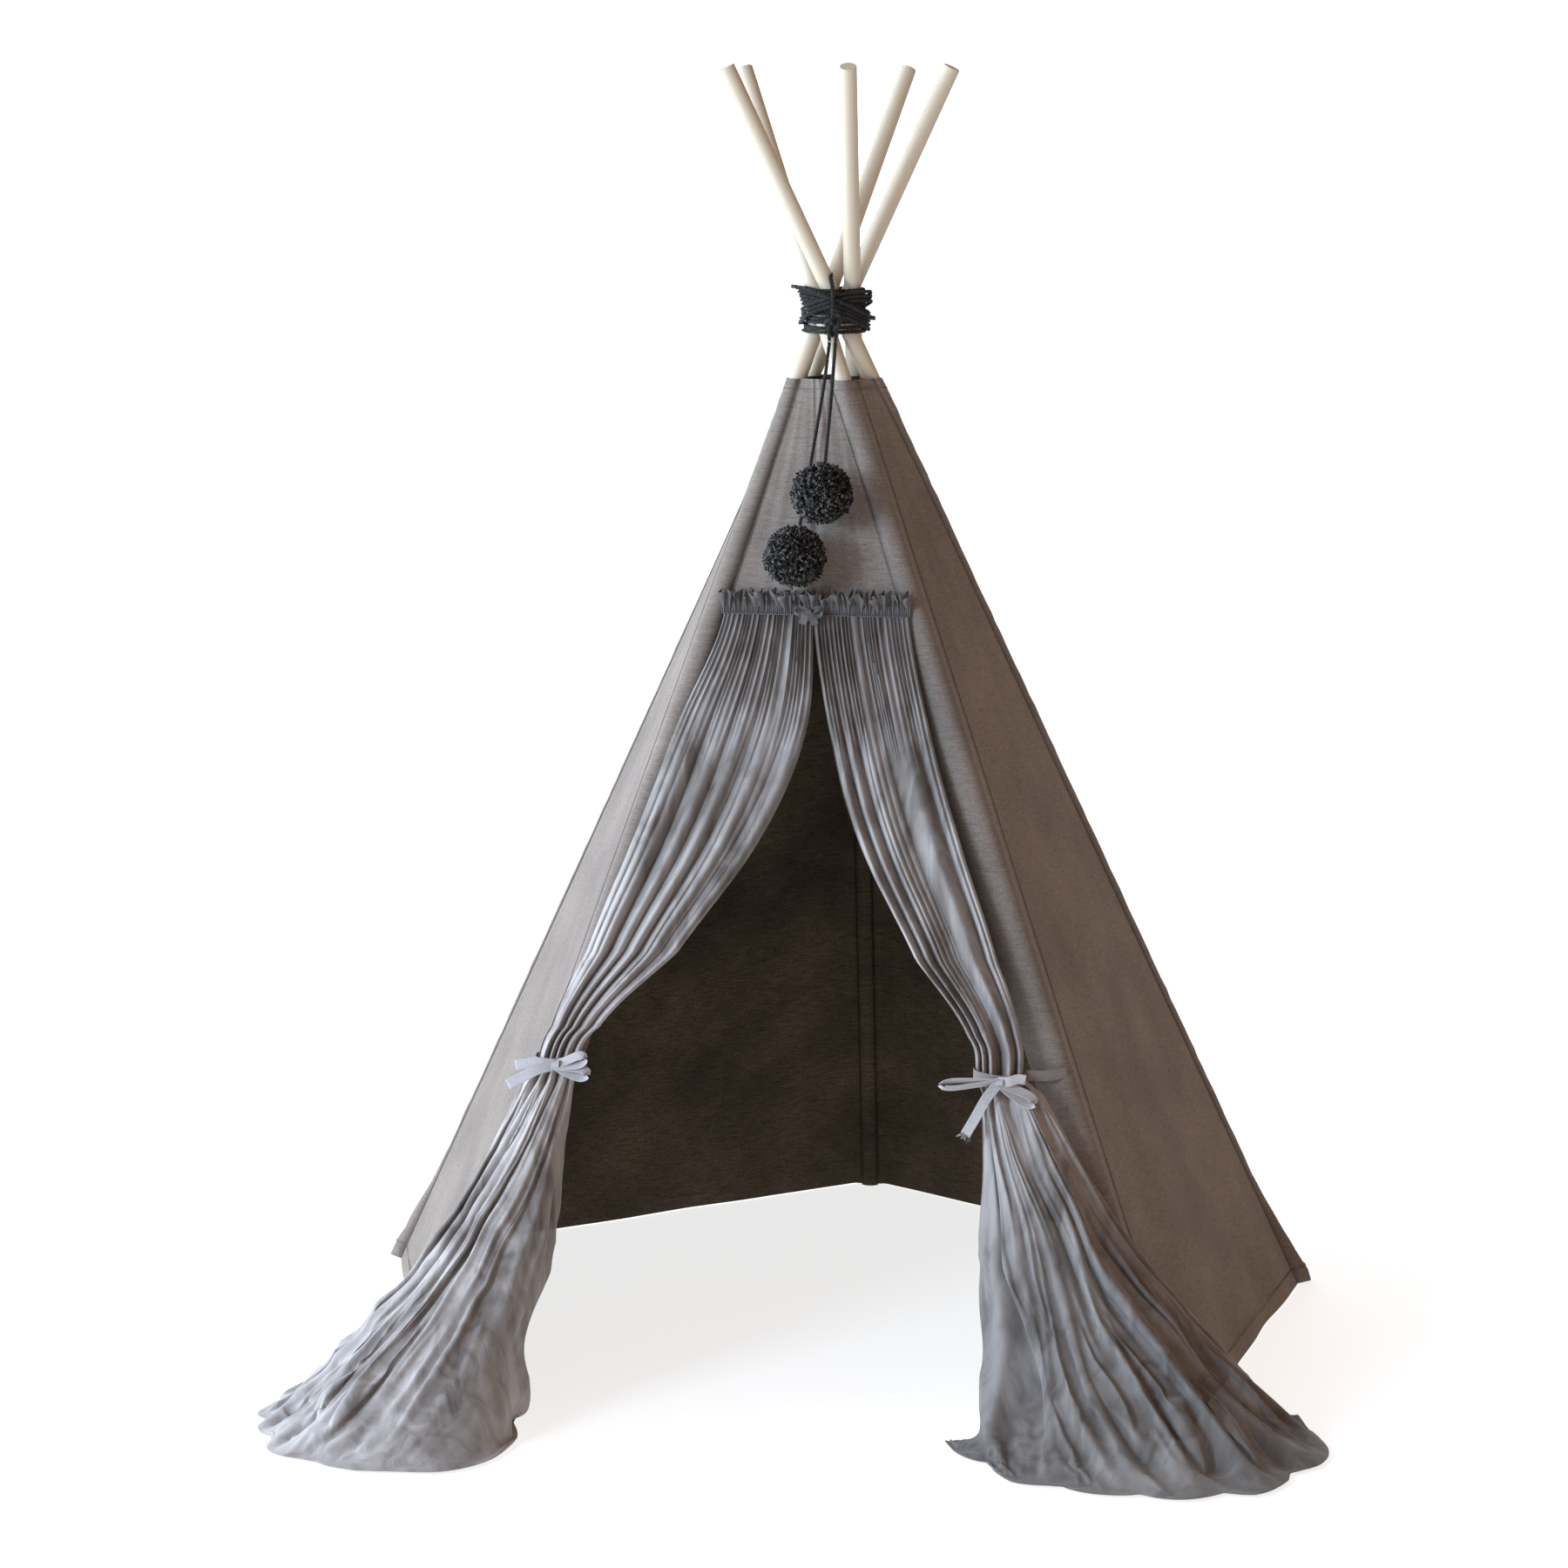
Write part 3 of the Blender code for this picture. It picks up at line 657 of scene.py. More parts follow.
def make_rope():
    make_pompom(
        "upper",
        [
            KNOT + Vector((0.004, -0.003, -0.0195)),
            hanging_stop(0.10, 0.001, 0.034),
            hanging_stop(0.16, -0.003, 0.037),
            hanging_stop(0.19, -0.005, 0.042),
        ],
    )
    make_pompom(
        "lower",
        [
            KNOT + Vector((-0.004, 0.004, -0.0205)),
            hanging_stop(0.08, -0.010, 0.010),
            hanging_stop(0.14, -0.019, 0.0045),
            hanging_stop(0.22, -0.031, 0.0045),
            hanging_stop(0.255, -0.036, 0.0055),
            hanging_stop(0.272, -0.039, 0.014),
        ],
    )
    make_lashing()
    make_knot()


# Poles


def dress_poles():
    for i, name in enumerate(POLES):
        pole = frame["nodes"][f"pole_{name}"]
        offset = (0.02 + 0.017 * i, 0.011 * i - 0.03, 0.07 * i)
        wood = wood_material(f"pine_{name}", LINES[name][1], offset)
        for slot in pole.material_slots:
            slot.material = wood


# The cover: sleeves round the poles, panels between them, the yoke over the door

SEEDS = {"panel_left": 1, "panel_right": 2, "panel_back_right": 3, "panel_back_left": 4}
UNDER_SLEEVE = 0.55  # a panel's edge lies this share of the way from the pole to the seam
SIDE_SHADED_TO = 0.70  # the side panels' inner faces are painted dark, as shade, up to here, and the back ones' to the door's top
HEM = 0.0008  # how high the cover's hem hangs above the floor
INNER_ARC = math.radians(150)  # how far a sleeve's inner side reaches round its pole


def neighbours(name):
    """The poles before and after this one, anticlockwise seen from above."""
    i = POLES.index(name)
    return POLES[i - 1], POLES[(i + 1) % len(POLES)]


def channel_width(first, second, height):
    """How far a sleeve's stitching lies from its pole, on the side of the panel between these two."""
    if "front_left" in (first, second) and "front_right" in (first, second) and height < DOOR_TOP:
        loose = smooth(DOOR_TOP, 0.70, height)
        return 0.018 + 0.018 * loose
    widest = 0.0125 + 0.0075 * smooth(COVER_TOP, 0.7, height)
    return min(widest, 0.40 * (pole_point(first, height) - pole_point(second, height)).length)


def seam_share(first, second, height, end):
    """The share of the panel at which its stitching to a sleeve lies: end is 0 for the first pole."""
    between = (pole_point(first, height) - pole_point(second, height)).length
    share = channel_width(first, second, height) / between
    return share if end == 0 else 1 - share


def slack(name, height):
    """How loosely a sleeve stands off its pole: tight above, loose and lumpy at the hem."""
    lumps = 1 + 0.35 * noise.noise(Vector((height * 31, len(name), 0)))
    ripple = noise.noise(Vector((0, height * 60, len(name))))
    return 0.0125 * smooth(0.16, 0.0, height) * lumps + 0.0007 * ripple


def sleeve_ring(name, height, around):
    """A level ring of a sleeve: over the pole's outer side, stitched flat, then back behind it."""
    before, after = neighbours(name)
    pole = pole_point(name, height)
    loose = slack(name, height)
    start = cover_point(before, name, seam_share(before, name, height, 1), height, 0.0001)
    first = cover_point(before, name, 1.0, height, loose)
    last = cover_point(name, after, 0.0, height, loose)
    end = cover_point(name, after, seam_share(name, after, height, 0), height, 0.0001)
    outer = [start]
    for i in range(around + 1):
        swung = (first - pole).lerp(last - pole, i / around)
        size = (first - pole).length * (1 - i / around) + (last - pole).length * i / around
        outer.append(pole + swung.normalized() * size)
    outer.append(end)
    behind = [end.lerp(start, 0.06)]
    inwards = -((first - pole).normalized() + (last - pole).normalized()).normalized()
    for i in range(around - 1, 0, -1):
        angle = (i / around - 0.5) * INNER_ARC
        turned = Matrix.Rotation(angle, 3, "Z") @ inwards
        behind.append(pole + turned * (POLE_RADIUS / LINES[name][1].z + 0.0022))
    behind.append(start.lerp(end, 0.06))
    return outer + behind


def crease(name, height):
    """The small pulls across a loose sleeve beside the door."""
    return 0.0011 * noise.noise(Vector((len(name) * 3.1, 0, height * 55)))


def make_sleeve(name):
    rows = 90
    around = 8
    top, bottom = COVER_TOP - 0.0005, 0.0010
    vertices, count = [], 0
    for row in range(rows):
        height = top + (bottom - top) * row / (rows - 1)
        ring = sleeve_ring(name, height, around)
        pole = pole_point(name, height)
        count = len(ring)
        for i, point in enumerate(ring):
            away = Vector((point.x - pole.x, point.y - pole.y, 0)).normalized()
            ripple = crease(name, height + 0.004 * math.sin(i)) if 0 < i < around + 2 else 0.0
            vertices.append(point + away * ripple)
    faces = grid_faces(count, rows, closed=True)
    sleeve = mesh_object(f"sleeve_cloth_{name}", vertices, faces, CANVAS)
    # Faces behind the pole take the dark inner material: painted shade inside the cover.
    sleeve.data.materials.append(INNER_SHADE)
    behind = [1 if k % count >= around + 2 else 0 for k in range(len(faces))]
    sleeve.data.polygons.foreach_set("material_index", behind)
    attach(sleeve, f"{name}_leg")
    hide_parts(f"sleeve_{name}")


def make_seams(name):
    """The stitched welts on both sides of a pole's sleeve, where the panels are sewn on."""
    before, after = neighbours(name)
    for label, first, second, end in (("a", before, name, 1), ("b", name, after, 0)):
        bottom = DOOR_TOP if {first, second} == {"front_left", "front_right"} else 0.006
        line = []
        for i in range(60):
            height = COVER_TOP - 0.001 + (bottom - COVER_TOP) * i / 59
            line.append(cover_point(first, second, seam_share(first, second, height, end), height, 0.0002))
        seam = mesh_object(f"welt_{name}_{label}", *tube(line, SEAM / 2, 6), STITCH)
        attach(seam, f"{name}_leg")


def panel_wrinkle(share, height, seed):
    """How far a panel's cloth stands out: soft hanging folds that grow towards the hem, and slight pulls."""
    middle = math.sin(math.pi * min(max(share, 0), 1))
    low = smooth(0.85, 0.05, height)
    folds = noise.noise(Vector((share * 5.5 + seed * 7.3, seed, height * 0.9)))
    broad = noise.noise(Vector((share * 2.1 + seed * 3.7, seed * 2.0, height * 2.3)))
    pulls = noise.noise(Vector((share * 9.0 + height * 6.0, seed * 4.0, height * 12.0)))
    return middle * (0.0060 * low * folds + 0.0048 * broad + 0.0014 * pulls)


def tuck(share, seams):
    """How deep a panel's edge lies under its sleeve: not at all at the seam, most at the very edge."""
    return 0.0045 * max((seams[0] - share) / seams[0], (share - seams[1]) / (1 - seams[1]), 0.0)


def split_sheet(name, poles, vertices, across, along, nodes, shaded_below):
    """Cuts a sheet between two poles down its middle into two meshes.

    vertices holds rows of points, from the top down. The cloth has an outer and an inner face; below the
    given height the inner face takes the dark inner material, painted shade for the inside of the cover. Both
    halves keep the whole sheet's shading normals, so no line shows where they meet."""
    grid = np.array(vertices).reshape(along, across, 3)
    normals = np.cross(np.gradient(grid, axis=0), np.gradient(grid, axis=1))
    normals /= np.linalg.norm(normals, axis=2, keepdims=True)
    depth = np.full((along, across, 1), CLOTH)
    depth[0] = depth[-1] = CLOTH / 10
    depth[:, 0] = depth[:, -1] = CLOTH / 10
    inner = grid - normals * depth
    middle = (across - 1) // 2
    halves = (slice(0, middle + 1), slice(middle, across))
    for label, columns, pole, node in zip("ab", halves, poles, nodes):
        width = grid[:, columns].shape[1]
        faces = grid_faces(width, along)
        count = width * along
        points = np.concatenate([grid[:, columns].reshape(-1, 3), inner[:, columns].reshape(-1, 3)])
        both = [face[::-1] for face in faces] + [tuple(count + k for k in face) for face in faces]
        edge = grid_rim(width, along)
        both += [(a, b, b + count, a + count) for a, b in zip(edge, edge[1:] + edge[:1])]
        half = mesh_object(f"{name}_{label}", points, both, CANVAS)
        half.data.materials.append(INNER_SHADE)
        # Inner faces below the given height take the dark inner material: painted shade inside the cover.
        inner_faces = half.data.polygons[len(faces) : 2 * len(faces)]
        for face in inner_faces:
            face.material_index = 1 if face.center.z < shaded_below else 0
        outwards = normals[:, columns].reshape(-1, 3)
        half.data.normals_split_custom_set_from_vertices(np.concatenate([outwards, -outwards]))
        away = np.arange(across)[columns] / middle
        away = np.minimum(away, 2 - away)
        follow(half)
        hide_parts(node)


def follow(obj):
    """Bakes the object's placing into its mesh."""
    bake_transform(obj)


def sheet_points(poles, bottom, across, along, stand_out):
    """Rows of points of a sheet between two poles, from the cover's top down, tucked under the sleeves.

    stand_out gives how far the cloth stands out, from the share of the sheet's width, the share of
    the way between the poles, the height and the shares at which the seams lie."""
    vertices = []
    for row in range(along):
        height = COVER_TOP + (bottom - COVER_TOP) * row / (along - 1)
        seams = seam_share(*poles, height, 0), seam_share(*poles, height, 1)
        left, right = seams[0] * UNDER_SLEEVE, 1 - (1 - seams[1]) * UNDER_SLEEVE
        for i in range(across):
            s = i / (across - 1)
            share = left + (right - left) * s
            out = stand_out(s, share, height, seams) - tuck(share, seams)
            vertices.append(cover_point(*poles, share, height, out))
    return vertices


def make_panel(name, poles):
    across, along = ((61, 80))
    seed = len(name) + 1.7 * SEEDS[name]

    def stand_out(s, share, height, seams):
        loose = smooth(0.0, 0.12, min(share - seams[0], seams[1] - share))
        return panel_wrinkle(s, height, seed) * loose - 0.0004

    vertices = sheet_points(poles, HEM, across, along, stand_out)
    # How high the painted shade on the inner face reaches.
    shaded_below = DOOR_TOP if "back" in name else SIDE_SHADED_TO
    split_sheet(f"{name}_cloth", poles, vertices, across, along, (name, name), shaded_below)


def make_yoke():
    """The cloth over the door, in two halves sewn together down the middle."""
    across, along = ((61, 60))

    def stand_out(s, share, height, _):
        pulled = 0.0018 * noise.noise(Vector((share * 16, height * 4, 9))) * math.sin(math.pi * s)
        sewn = -0.0011 * smooth(0.035, 0.0, abs(s - 0.5))
        return pulled + sewn - 0.0003

    poles, nodes, flat = ("front_left", "front_right"), ("yoke_left", "yoke_right"), (0.135, 0.32)
    vertices = sheet_points(poles, DOOR_TOP - 0.004, across, along, stand_out)
    split_sheet("yoke_cloth", poles, vertices, across, along, nodes, 0)


def make_hem(height):
    """A line of stitching round the whole cover, at one height."""
    around = list(zip(POLES, [*POLES[1:], POLES[0]]))
    for first, second in around:
        if {first, second} == {"front_left", "front_right"} and height < DOOR_TOP:
            continue
        left = seam_share(first, second, height, 0)
        right = seam_share(first, second, height, 1)
        for pole, start in ((first, left), (second, right)):
            line = [
                cover_point(first, second, start + (0.5 - start) * i / 16, height, 0.0003) for i in range(17)
            ]
            vertices, faces = tube(line, STITCHING, 4)
            stitches = mesh_object(f"hem_{first}_{pole}_{round(height * 1000)}", vertices, faces, STITCH)
            follow(stitches)
    for pole in POLES:
        ring = sleeve_ring(pole, height, 8)[:11]
        middle = pole_point(pole, height)
        line = [point + (point - middle).normalized() * 0.0004 for point in ring]
        stitches = mesh_object(f"hem_{pole}_{round(height * 1000)}", *tube(line, STITCHING, 4), STITCH)
        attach(stitches, f"{pole}_leg")


def make_cover():
    for name in POLES:
        make_sleeve(name)
        make_seams(name)
    for node, side in (("door_edge_left", "front_left"), ("door_edge_right", "front_right")):
        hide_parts(node)
    for name, poles in SIDES.items():
        make_panel(name, poles)
    make_yoke()
    for height in (COVER_TOP - 0.0125, COVER_BOTTOM + 0.018):
        make_hem(height)


# The curtains: a frilled heading, folds gathered into a ribbon, and a skirt that pools on the floor

CURTAINS = {
    "left": {
        "pole": "front_left",
        "seed": 3,
        "twist": 0.26,
        "neck": Vector((-0.322, 0, 0.424)),
        # height, left and right edge, nearest and furthest out from the cover
        "fall": (
            (0.958, -0.131, -0.0165, 0.003, 0.0085),
            (0.82, -0.188, -0.022, 0.003, 0.016),
            (0.69, -0.238, -0.076, 0.004, 0.026),
            (0.55, -0.293, -0.178, 0.007, 0.034),
            (0.462, -0.333, -0.272, 0.012, 0.042),
            (0.424, -0.3475, -0.2965, 0.014, 0.052),
        ),
        # height, share of the way from below the neck to the pole's foot, compass angles, reach at each
        "skirt": (
            (0.340, 0.20, (182, 215, 250, 285, 320, 355), (0.062, 0.060, 0.062, 0.058, 0.052, 0.046)),
            (0.210, 0.52, (175, 195, 215, 245, 280, 348), (0.105, 0.120, 0.122, 0.120, 0.112, 0.105)),
            (0.100, 1.00, (150, 180, 210, 240, 275, 345), (0.135, 0.155, 0.175, 0.182, 0.172, 0.122)),
            (0.030, 1.00, (135, 175, 205, 240, 275, 345), (0.165, 0.178, 0.198, 0.225, 0.215, 0.118)),
            (0.004, 1.00, (128, 170, 205, 240, 275, 345), (0.195, 0.200, 0.222, 0.254, 0.250, 0.122)),
        ),
    },
    "right": {
        "pole": "front_right",
        "seed": 8,
        "twist": 0.06,
        "neck": Vector((0.226, 0, 0.418)),
        "fall": (
            (0.958, -0.0165, 0.1045, 0.003, 0.0085),
            (0.82, 0.006, 0.134, 0.003, 0.016),
            (0.69, 0.044, 0.174, 0.004, 0.026),
            (0.55, 0.118, 0.222, 0.007, 0.034),
            (0.462, 0.186, 0.252, 0.012, 0.042),
            (0.418, 0.197, 0.255, 0.014, 0.052),
        ),
        "skirt": (
            (0.340, 0.18, (182, 215, 250, 285, 320, 358), (0.046, 0.056, 0.060, 0.066, 0.074, 0.082)),
            (0.210, 0.50, (184, 215, 250, 285, 320, 358), (0.108, 0.122, 0.114, 0.112, 0.104, 0.102)),
            (0.100, 1.00, (190, 225, 250, 285, 320, 375), (0.200, 0.202, 0.182, 0.172, 0.142, 0.122)),
            (0.030, 1.00, (192, 225, 250, 285, 320, 384), (0.262, 0.250, 0.222, 0.205, 0.180, 0.150)),
            (0.004, 1.00, (192, 225, 250, 285, 320, 384), (0.285, 0.280, 0.256, 0.245, 0.205, 0.165)),
        ),
    },
}
THREADS = 217
FOLDS = 5
LOW_FOLDS = 6
PLEATS = 22
NECK_OUT = 0.030  # how far the middle of the gathered curtain stands out from the cover at its tie
SETTLING_FRAMES = 28
SPARE_CLOTH = 0.15  # how much wider and longer the skirt's cloth is than the shape it starts from
# Smaller than the cut the photo suggests, about 0.62 by 1.10: the modelled folds hold less cloth.
CALMER = (1.0, 1.0, 1.0, 1.0, 0.75, 0.35)  # how deep the skirt's folds are at each of its levels


def pleat_wave(share, count, seed):
    """An uneven row of round gathers with creases between them, from about -1 to 1."""
    drift = 1.3 * noise.noise(Vector((share * count * 0.31, seed, 0)))
    depth = 0.80 + 0.55 * noise.noise(Vector((share * count * 0.62, seed, 7)))
    round_top = 2 * abs(math.sin(math.pi * (count * share + drift))) ** 0.8 - 1
    return depth * round_top


def fall_point(curtain, share, height):
    """A point of the curtain above its tie: fine pleats at the heading that merge into larger folds."""
    left, right, near, far = along_stops(curtain["fall"], height)
    seed = curtain["seed"]
    large = smooth(0.95, 0.76, height)
    gathered = smooth(0.58, 0.44, height)
    wander = 0.024 * noise.noise(Vector((seed, height * 3.4, share * 2.0)))
    fine = pleat_wave(share + wander * 0.3, PLEATS, seed)
    middling = pleat_wave(share - wander, 2 * FOLDS - 1, seed + 9)
    broad = pleat_wave(share + wander, FOLDS, seed + 5)
    fold = fine * (1 - large) + (broad * 0.80 + middling * 0.26 * (1 - gathered)) * large
    fold = max(min(fold, 1.0), -1.0)
    level = math.sqrt(max(1 - (2 * share - 1) ** 2, 0.0)) * gathered + 1 - gathered
    middle, reach = (near + far) / 2, (far - near) / 2
    sway = 0.0016 * pleat_wave(share + 0.25 / PLEATS, PLEATS, seed) * (1 - large)
    x = left + (right - left) * share + sway
    return front_point(x, height, middle + reach * level * fold)


def skirt_point(curtain, share, depth):
    """A point of the skirt below the tie: depth runs from 0 at the tie to 1 at the hem."""
    levels = curtain["skirt"]
    neck = curtain["neck"]
    at = depth * len(levels)
    i = min(int(at), len(levels) - 1)
    t = at - i
    placed = [ring_point(curtain, share, k) for k in range(max(i - 1, 0), min(i + 3, len(levels) + 1))]
    if i == 0:
        placed.insert(0, placed[0] * 2 - placed[1])
    if len(placed) < 4:
        placed.append(placed[-1])
    point = glide(*placed, t)
    return Vector((point.x, point.y, max(min(point.z, neck.z), 0.003)))


def ring_point(curtain, share, level):
    """A point of the skirt at one of its levels, folds included; level 0 is the tie."""
    neck = curtain["neck"]
    if level == 0:
        return fall_point(curtain, share, neck.z)
    height, along, angles, reaches = curtain["skirt"][level - 1]
    start = front_point(neck.x, neck.z, NECK_OUT)
    foot = pole_point(curtain["pole"], 0)
    centre = Vector((start.x, start.y, 0)).lerp(Vector((foot.x, foot.y, 0)), along) + UP * height
    at = share * (len(reaches) - 1)
    first = min(int(at), len(reaches) - 2)
    angle = math.radians(angles[first] + (angles[first + 1] - angles[first]) * (at - first))
    eased = smooth(0, 1, at - first)
    distance = reaches[first] + (reaches[first + 1] - reaches[first]) * eased
    small = pleat_wave(share, FOLDS, curtain["seed"] + 5)
    spread = min(level / 3, 1.0)
    large = pleat_wave(share + curtain["twist"] * level / 5, LOW_FOLDS, curtain["seed"] + 11)
    fold = small * (1 - spread * 0.8) + large * 0.8 * spread
    calm = CALMER[level] * smooth(0, 0.07, min(share, 1 - share) + 0.02)
    distance -= (0.006 + 0.058 * spread) * (1 - fold) / 2 * calm
    return centre + Vector((math.cos(angle), math.sin(angle), 0)) * distance


def settle(cloth, held, spare, obstacles):
    """Lets a cloth fall, held by some of its vertices, and returns the shape it takes.

    spare is each vertex's share of the spare cloth."""
    cloth.vertex_groups.new(name="held").add(held, 1.0, "REPLACE")
    group = cloth.vertex_groups.new(name="spare")
    for i, share in enumerate(spare):
        group.add([i], share, "REPLACE")
    falling = cloth.modifiers.new("falling", "CLOTH")
    falling.point_cache.frame_end = SETTLING_FRAMES
    settings = falling.settings
    settings.quality = 5
    settings.mass = 0.1
    settings.vertex_group_mass = "held"
    settings.tension_stiffness = settings.compression_stiffness = 10
    settings.shear_stiffness = 4
    settings.bending_stiffness = 0.03
    settings.air_damping = 2
    settings.shrink_min, settings.shrink_max = 0, -SPARE_CLOTH
    settings.vertex_group_shrink = "spare"
    falling.collision_settings.distance_min = 0.003
    falling.collision_settings.friction = 20
    for obstacle in obstacles:
        obstacle.modifiers.new("obstacle", "COLLISION")
        obstacle.collision.thickness_outer = 0.002
        obstacle.collision.cloth_friction = 20
    scene = bpy.context.scene
    scene.frame_start, scene.frame_end = 1, SETTLING_FRAMES
    for step in range(1, SETTLING_FRAMES + 1):
        scene.frame_set(step)
    settled = cloth.evaluated_get(bpy.context.evaluated_depsgraph_get()).data
    points = [vertex.co.copy() for vertex in settled.vertices]
    scene.frame_set(1)
    return points


def settled_skirt(curtain, rows):
    """The skirt's points, let fall between its tie and its hem on the floor, in front of the pole.
"""
    across = THREADS // 2 + 1
    points = []
    for row in range(rows):
        points += [skirt_point(curtain, i / (across - 1), row / (rows - 1)) for i in range(across)]
    cloth = mesh_object("settling", points, grid_faces(across, rows), CANVAS)
    ground = flat_square("ground", 1.2, 0, CANVAS)
    line = [pole_point(curtain["pole"], height) for height in (0.38, 0.26, 0.13, 0.0)]
    leg = mesh_object("leg", *tube(line, SLEEVE + 0.003, 10), CANVAS)
    held = list(range(across * 4)) + list(range(across * (rows - 1), across * rows))
    spare = [smooth(rows, rows * 0.75, i // across) for i in range(len(points))]
    points = settle(cloth, held, spare, [ground, leg])
    for helper in (cloth, ground, leg):
        bpy.data.objects.remove(helper)
    points = refined(points, across, rows)
    foot = pole_point(curtain["pole"], 0)
    for point in points:
        low = smooth(0.40, 0.22, point.z)
        away = Vector((point.x - foot.x, point.y - foot.y, 0)).normalized()
        leaning = point.x + point.z * curtain["twist"] * 4
        near = Vector((leaning * 11, point.y * 11, point.z * 5 + curtain["seed"]))
        wide = Vector((leaning * 6, point.y * 5, point.z * 2.2 - curtain["seed"]))
        small = 1 - 2.6 * abs(noise.noise(near))
        swirl = 1 - 3.0 * abs(noise.noise(wide))
        point += away * ((0.0040 * small + 0.0095 * swirl * smooth(0.0, 0.05, point.z)) * low)
    return points


def refined(points, across, along):
    """The same grid with a point added between each two neighbours, both ways, on smooth curves."""
    grid = np.array(points).reshape(along, across, 3)
    for axis in (0, 1):
        grid = np.swapaxes(grid, 0, axis)
        longer = np.concatenate([2 * grid[:1] - grid[1:2], grid, 2 * grid[-1:] - grid[-2:-1]])
        between = (9 * (longer[1:-2] + longer[2:-1]) - longer[:-3] - longer[3:]) / 16
        finer = np.empty((2 * len(grid) - 1, *grid.shape[1:]))
        finer[::2], finer[1::2] = grid, between
        grid = np.swapaxes(finer, 0, axis)
    return [Vector(point) for point in grid.reshape(-1, 3)]


def make_curtain(label):
    curtain = CURTAINS[label]
    neck = curtain["neck"]
    upper, lower = ((84, 56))
    top = curtain["fall"][0][0]
    heights = [top + (neck.z - top) * row / upper for row in range(upper)]
    points = [fall_point(curtain, i / (THREADS - 1), height) for height in heights for i in range(THREADS)]
    points += settled_skirt(curtain, lower)
    faces = grid_faces(THREADS, upper + 2 * lower - 1)
    made = mesh_object(f"curtain_cloth_{label}", points, faces, VOILES[label])
    follow(made)
    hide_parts(f"curtain_{label}")
    frill = make_frill(label, curtain)


def make_frill(label, curtain):
    """The frilled edge above the gathering line, fuller and more wavy towards its top."""
    across, along = (2 * THREADS, 9)
    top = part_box(f"curtain_heading_{label}")[1].z - 0.001
    start_height, left, right, _, _ = curtain["fall"][0]
    seed = curtain["seed"]
    points, weights = [], []
    for row in range(along):
        v = row / (along - 1)
        for i in range(across):
            share = i / (across - 1)
            wave = 0.75 * pleat_wave(share, 13, seed + 2) + 0.35 * pleat_wave(share, 29, seed + 6)
            turn = pleat_wave(share + 0.5 / 13, 13, seed + 2) + 0.5 * noise.noise(Vector((share * 30, v, 2)))
            ragged = noise.noise(Vector((share * 34, seed, 1))) - 0.35 * max(wave, 0)
            full = smooth(0, 0.6, v)
            pinch = 0.0035 + 0.0006 * math.sin(share * 300)
            x = left - 0.003 + (right - left + 0.006) * share + 0.0062 * turn * full
            rise = math.sin(v * math.pi * 0.58) / math.sin(math.pi * 0.58)
            height = start_height + (top - start_height) * rise * (1 + 0.34 * ragged * full)
            out = pinch + 0.016 * full * (0.60 + 0.5 * wave)
            points.append(front_point(x, height - 0.0012 * full * wave, max(out, 0.0012)))
            middle = front_share(x, height)
            edge = seam_share("front_left", "front_right", height, 0)
            away = (min(middle, 1 - middle) - edge) / (0.5 - edge)
            weights.append(min(max(away, 0), 1))
    gathering = [
        front_point(left + (right - left) * i / 80, start_height, 0.0068 + 0.0008 * math.sin(i * 1.9))
        for i in range(81)
    ]
    vertices, faces = joined([(points, grid_faces(across, along)), tube(gathering, 0.0010, 5)])
    weights += [1 - abs(2 * front_share(v.x, v.z) - 1) for v in vertices[len(points):]]
    # The frill takes the darkened curtain cloth: painted shade.
    frill = mesh_object(f"frill_{label}", vertices, faces, SHADED_RUFFLE)
    follow(frill)
    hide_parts(f"curtain_heading_{label}")
    return frill


# Ribbons

RIBBON_WIDTH = 0.0135
TIES = {
    "left": {
        "ring": (0.0285, 0.0250, 0.002),
        "arm": 212,
        "loops": (((1, 0.1, 0.25), 0.038), ((1, -0.1, -0.25), 0.042)),
        "tails": (((-1, -0.1, 0.12), 0.050), ((-1, -0.2, -0.3), 0.062)),
        "frayed": (),
    },
    "right": {
        "ring": (0.0320, 0.0250, -0.003),
        "arm": 300,
        "loops": (((-1, -0.1, -0.05), 0.072), ((1, -0.1, -0.55), 0.050)),
        "tails": (((-0.7, -0.2, -1), 0.072), ((1, -0.1, 0.3), 0.034)),
        "frayed": (0,),
    },
}


def ribbon(points, width, across, thickness=0.0007):
    """Vertices and faces of a flat ribbon with a slightly raised edge, along the points.

    across is the width's direction at the start and at the end, or one direction for both."""
    start, end = across if isinstance(across, tuple) else (across, across)
    profile = (-0.5, -0.44, -0.36, -0.18, 0.0, 0.18, 0.36, 0.44, 0.5)
    raised = (0.6, 1.35, 0.75, 0.8, 0.85, 0.8, 0.75, 1.35, 0.6)
    count = len(points)
    vertices = []
    for i, point in enumerate(points):
        tangent = direction_at(points, i)
        wide = start.lerp(end, i / (count - 1))
        wide = (wide - tangent * wide.dot(tangent)).normalized()
        normal = tangent.cross(wide)
        front = [point + wide * (width * p) + normal * (thickness / 2 * r) for p, r in zip(profile, raised)]
        back = [point + wide * (width * p) - normal * (thickness / 2 * r) for p, r in zip(profile, raised)]
        vertices += front + back[::-1]
    return vertices, closed_faces(2 * len(profile), count)


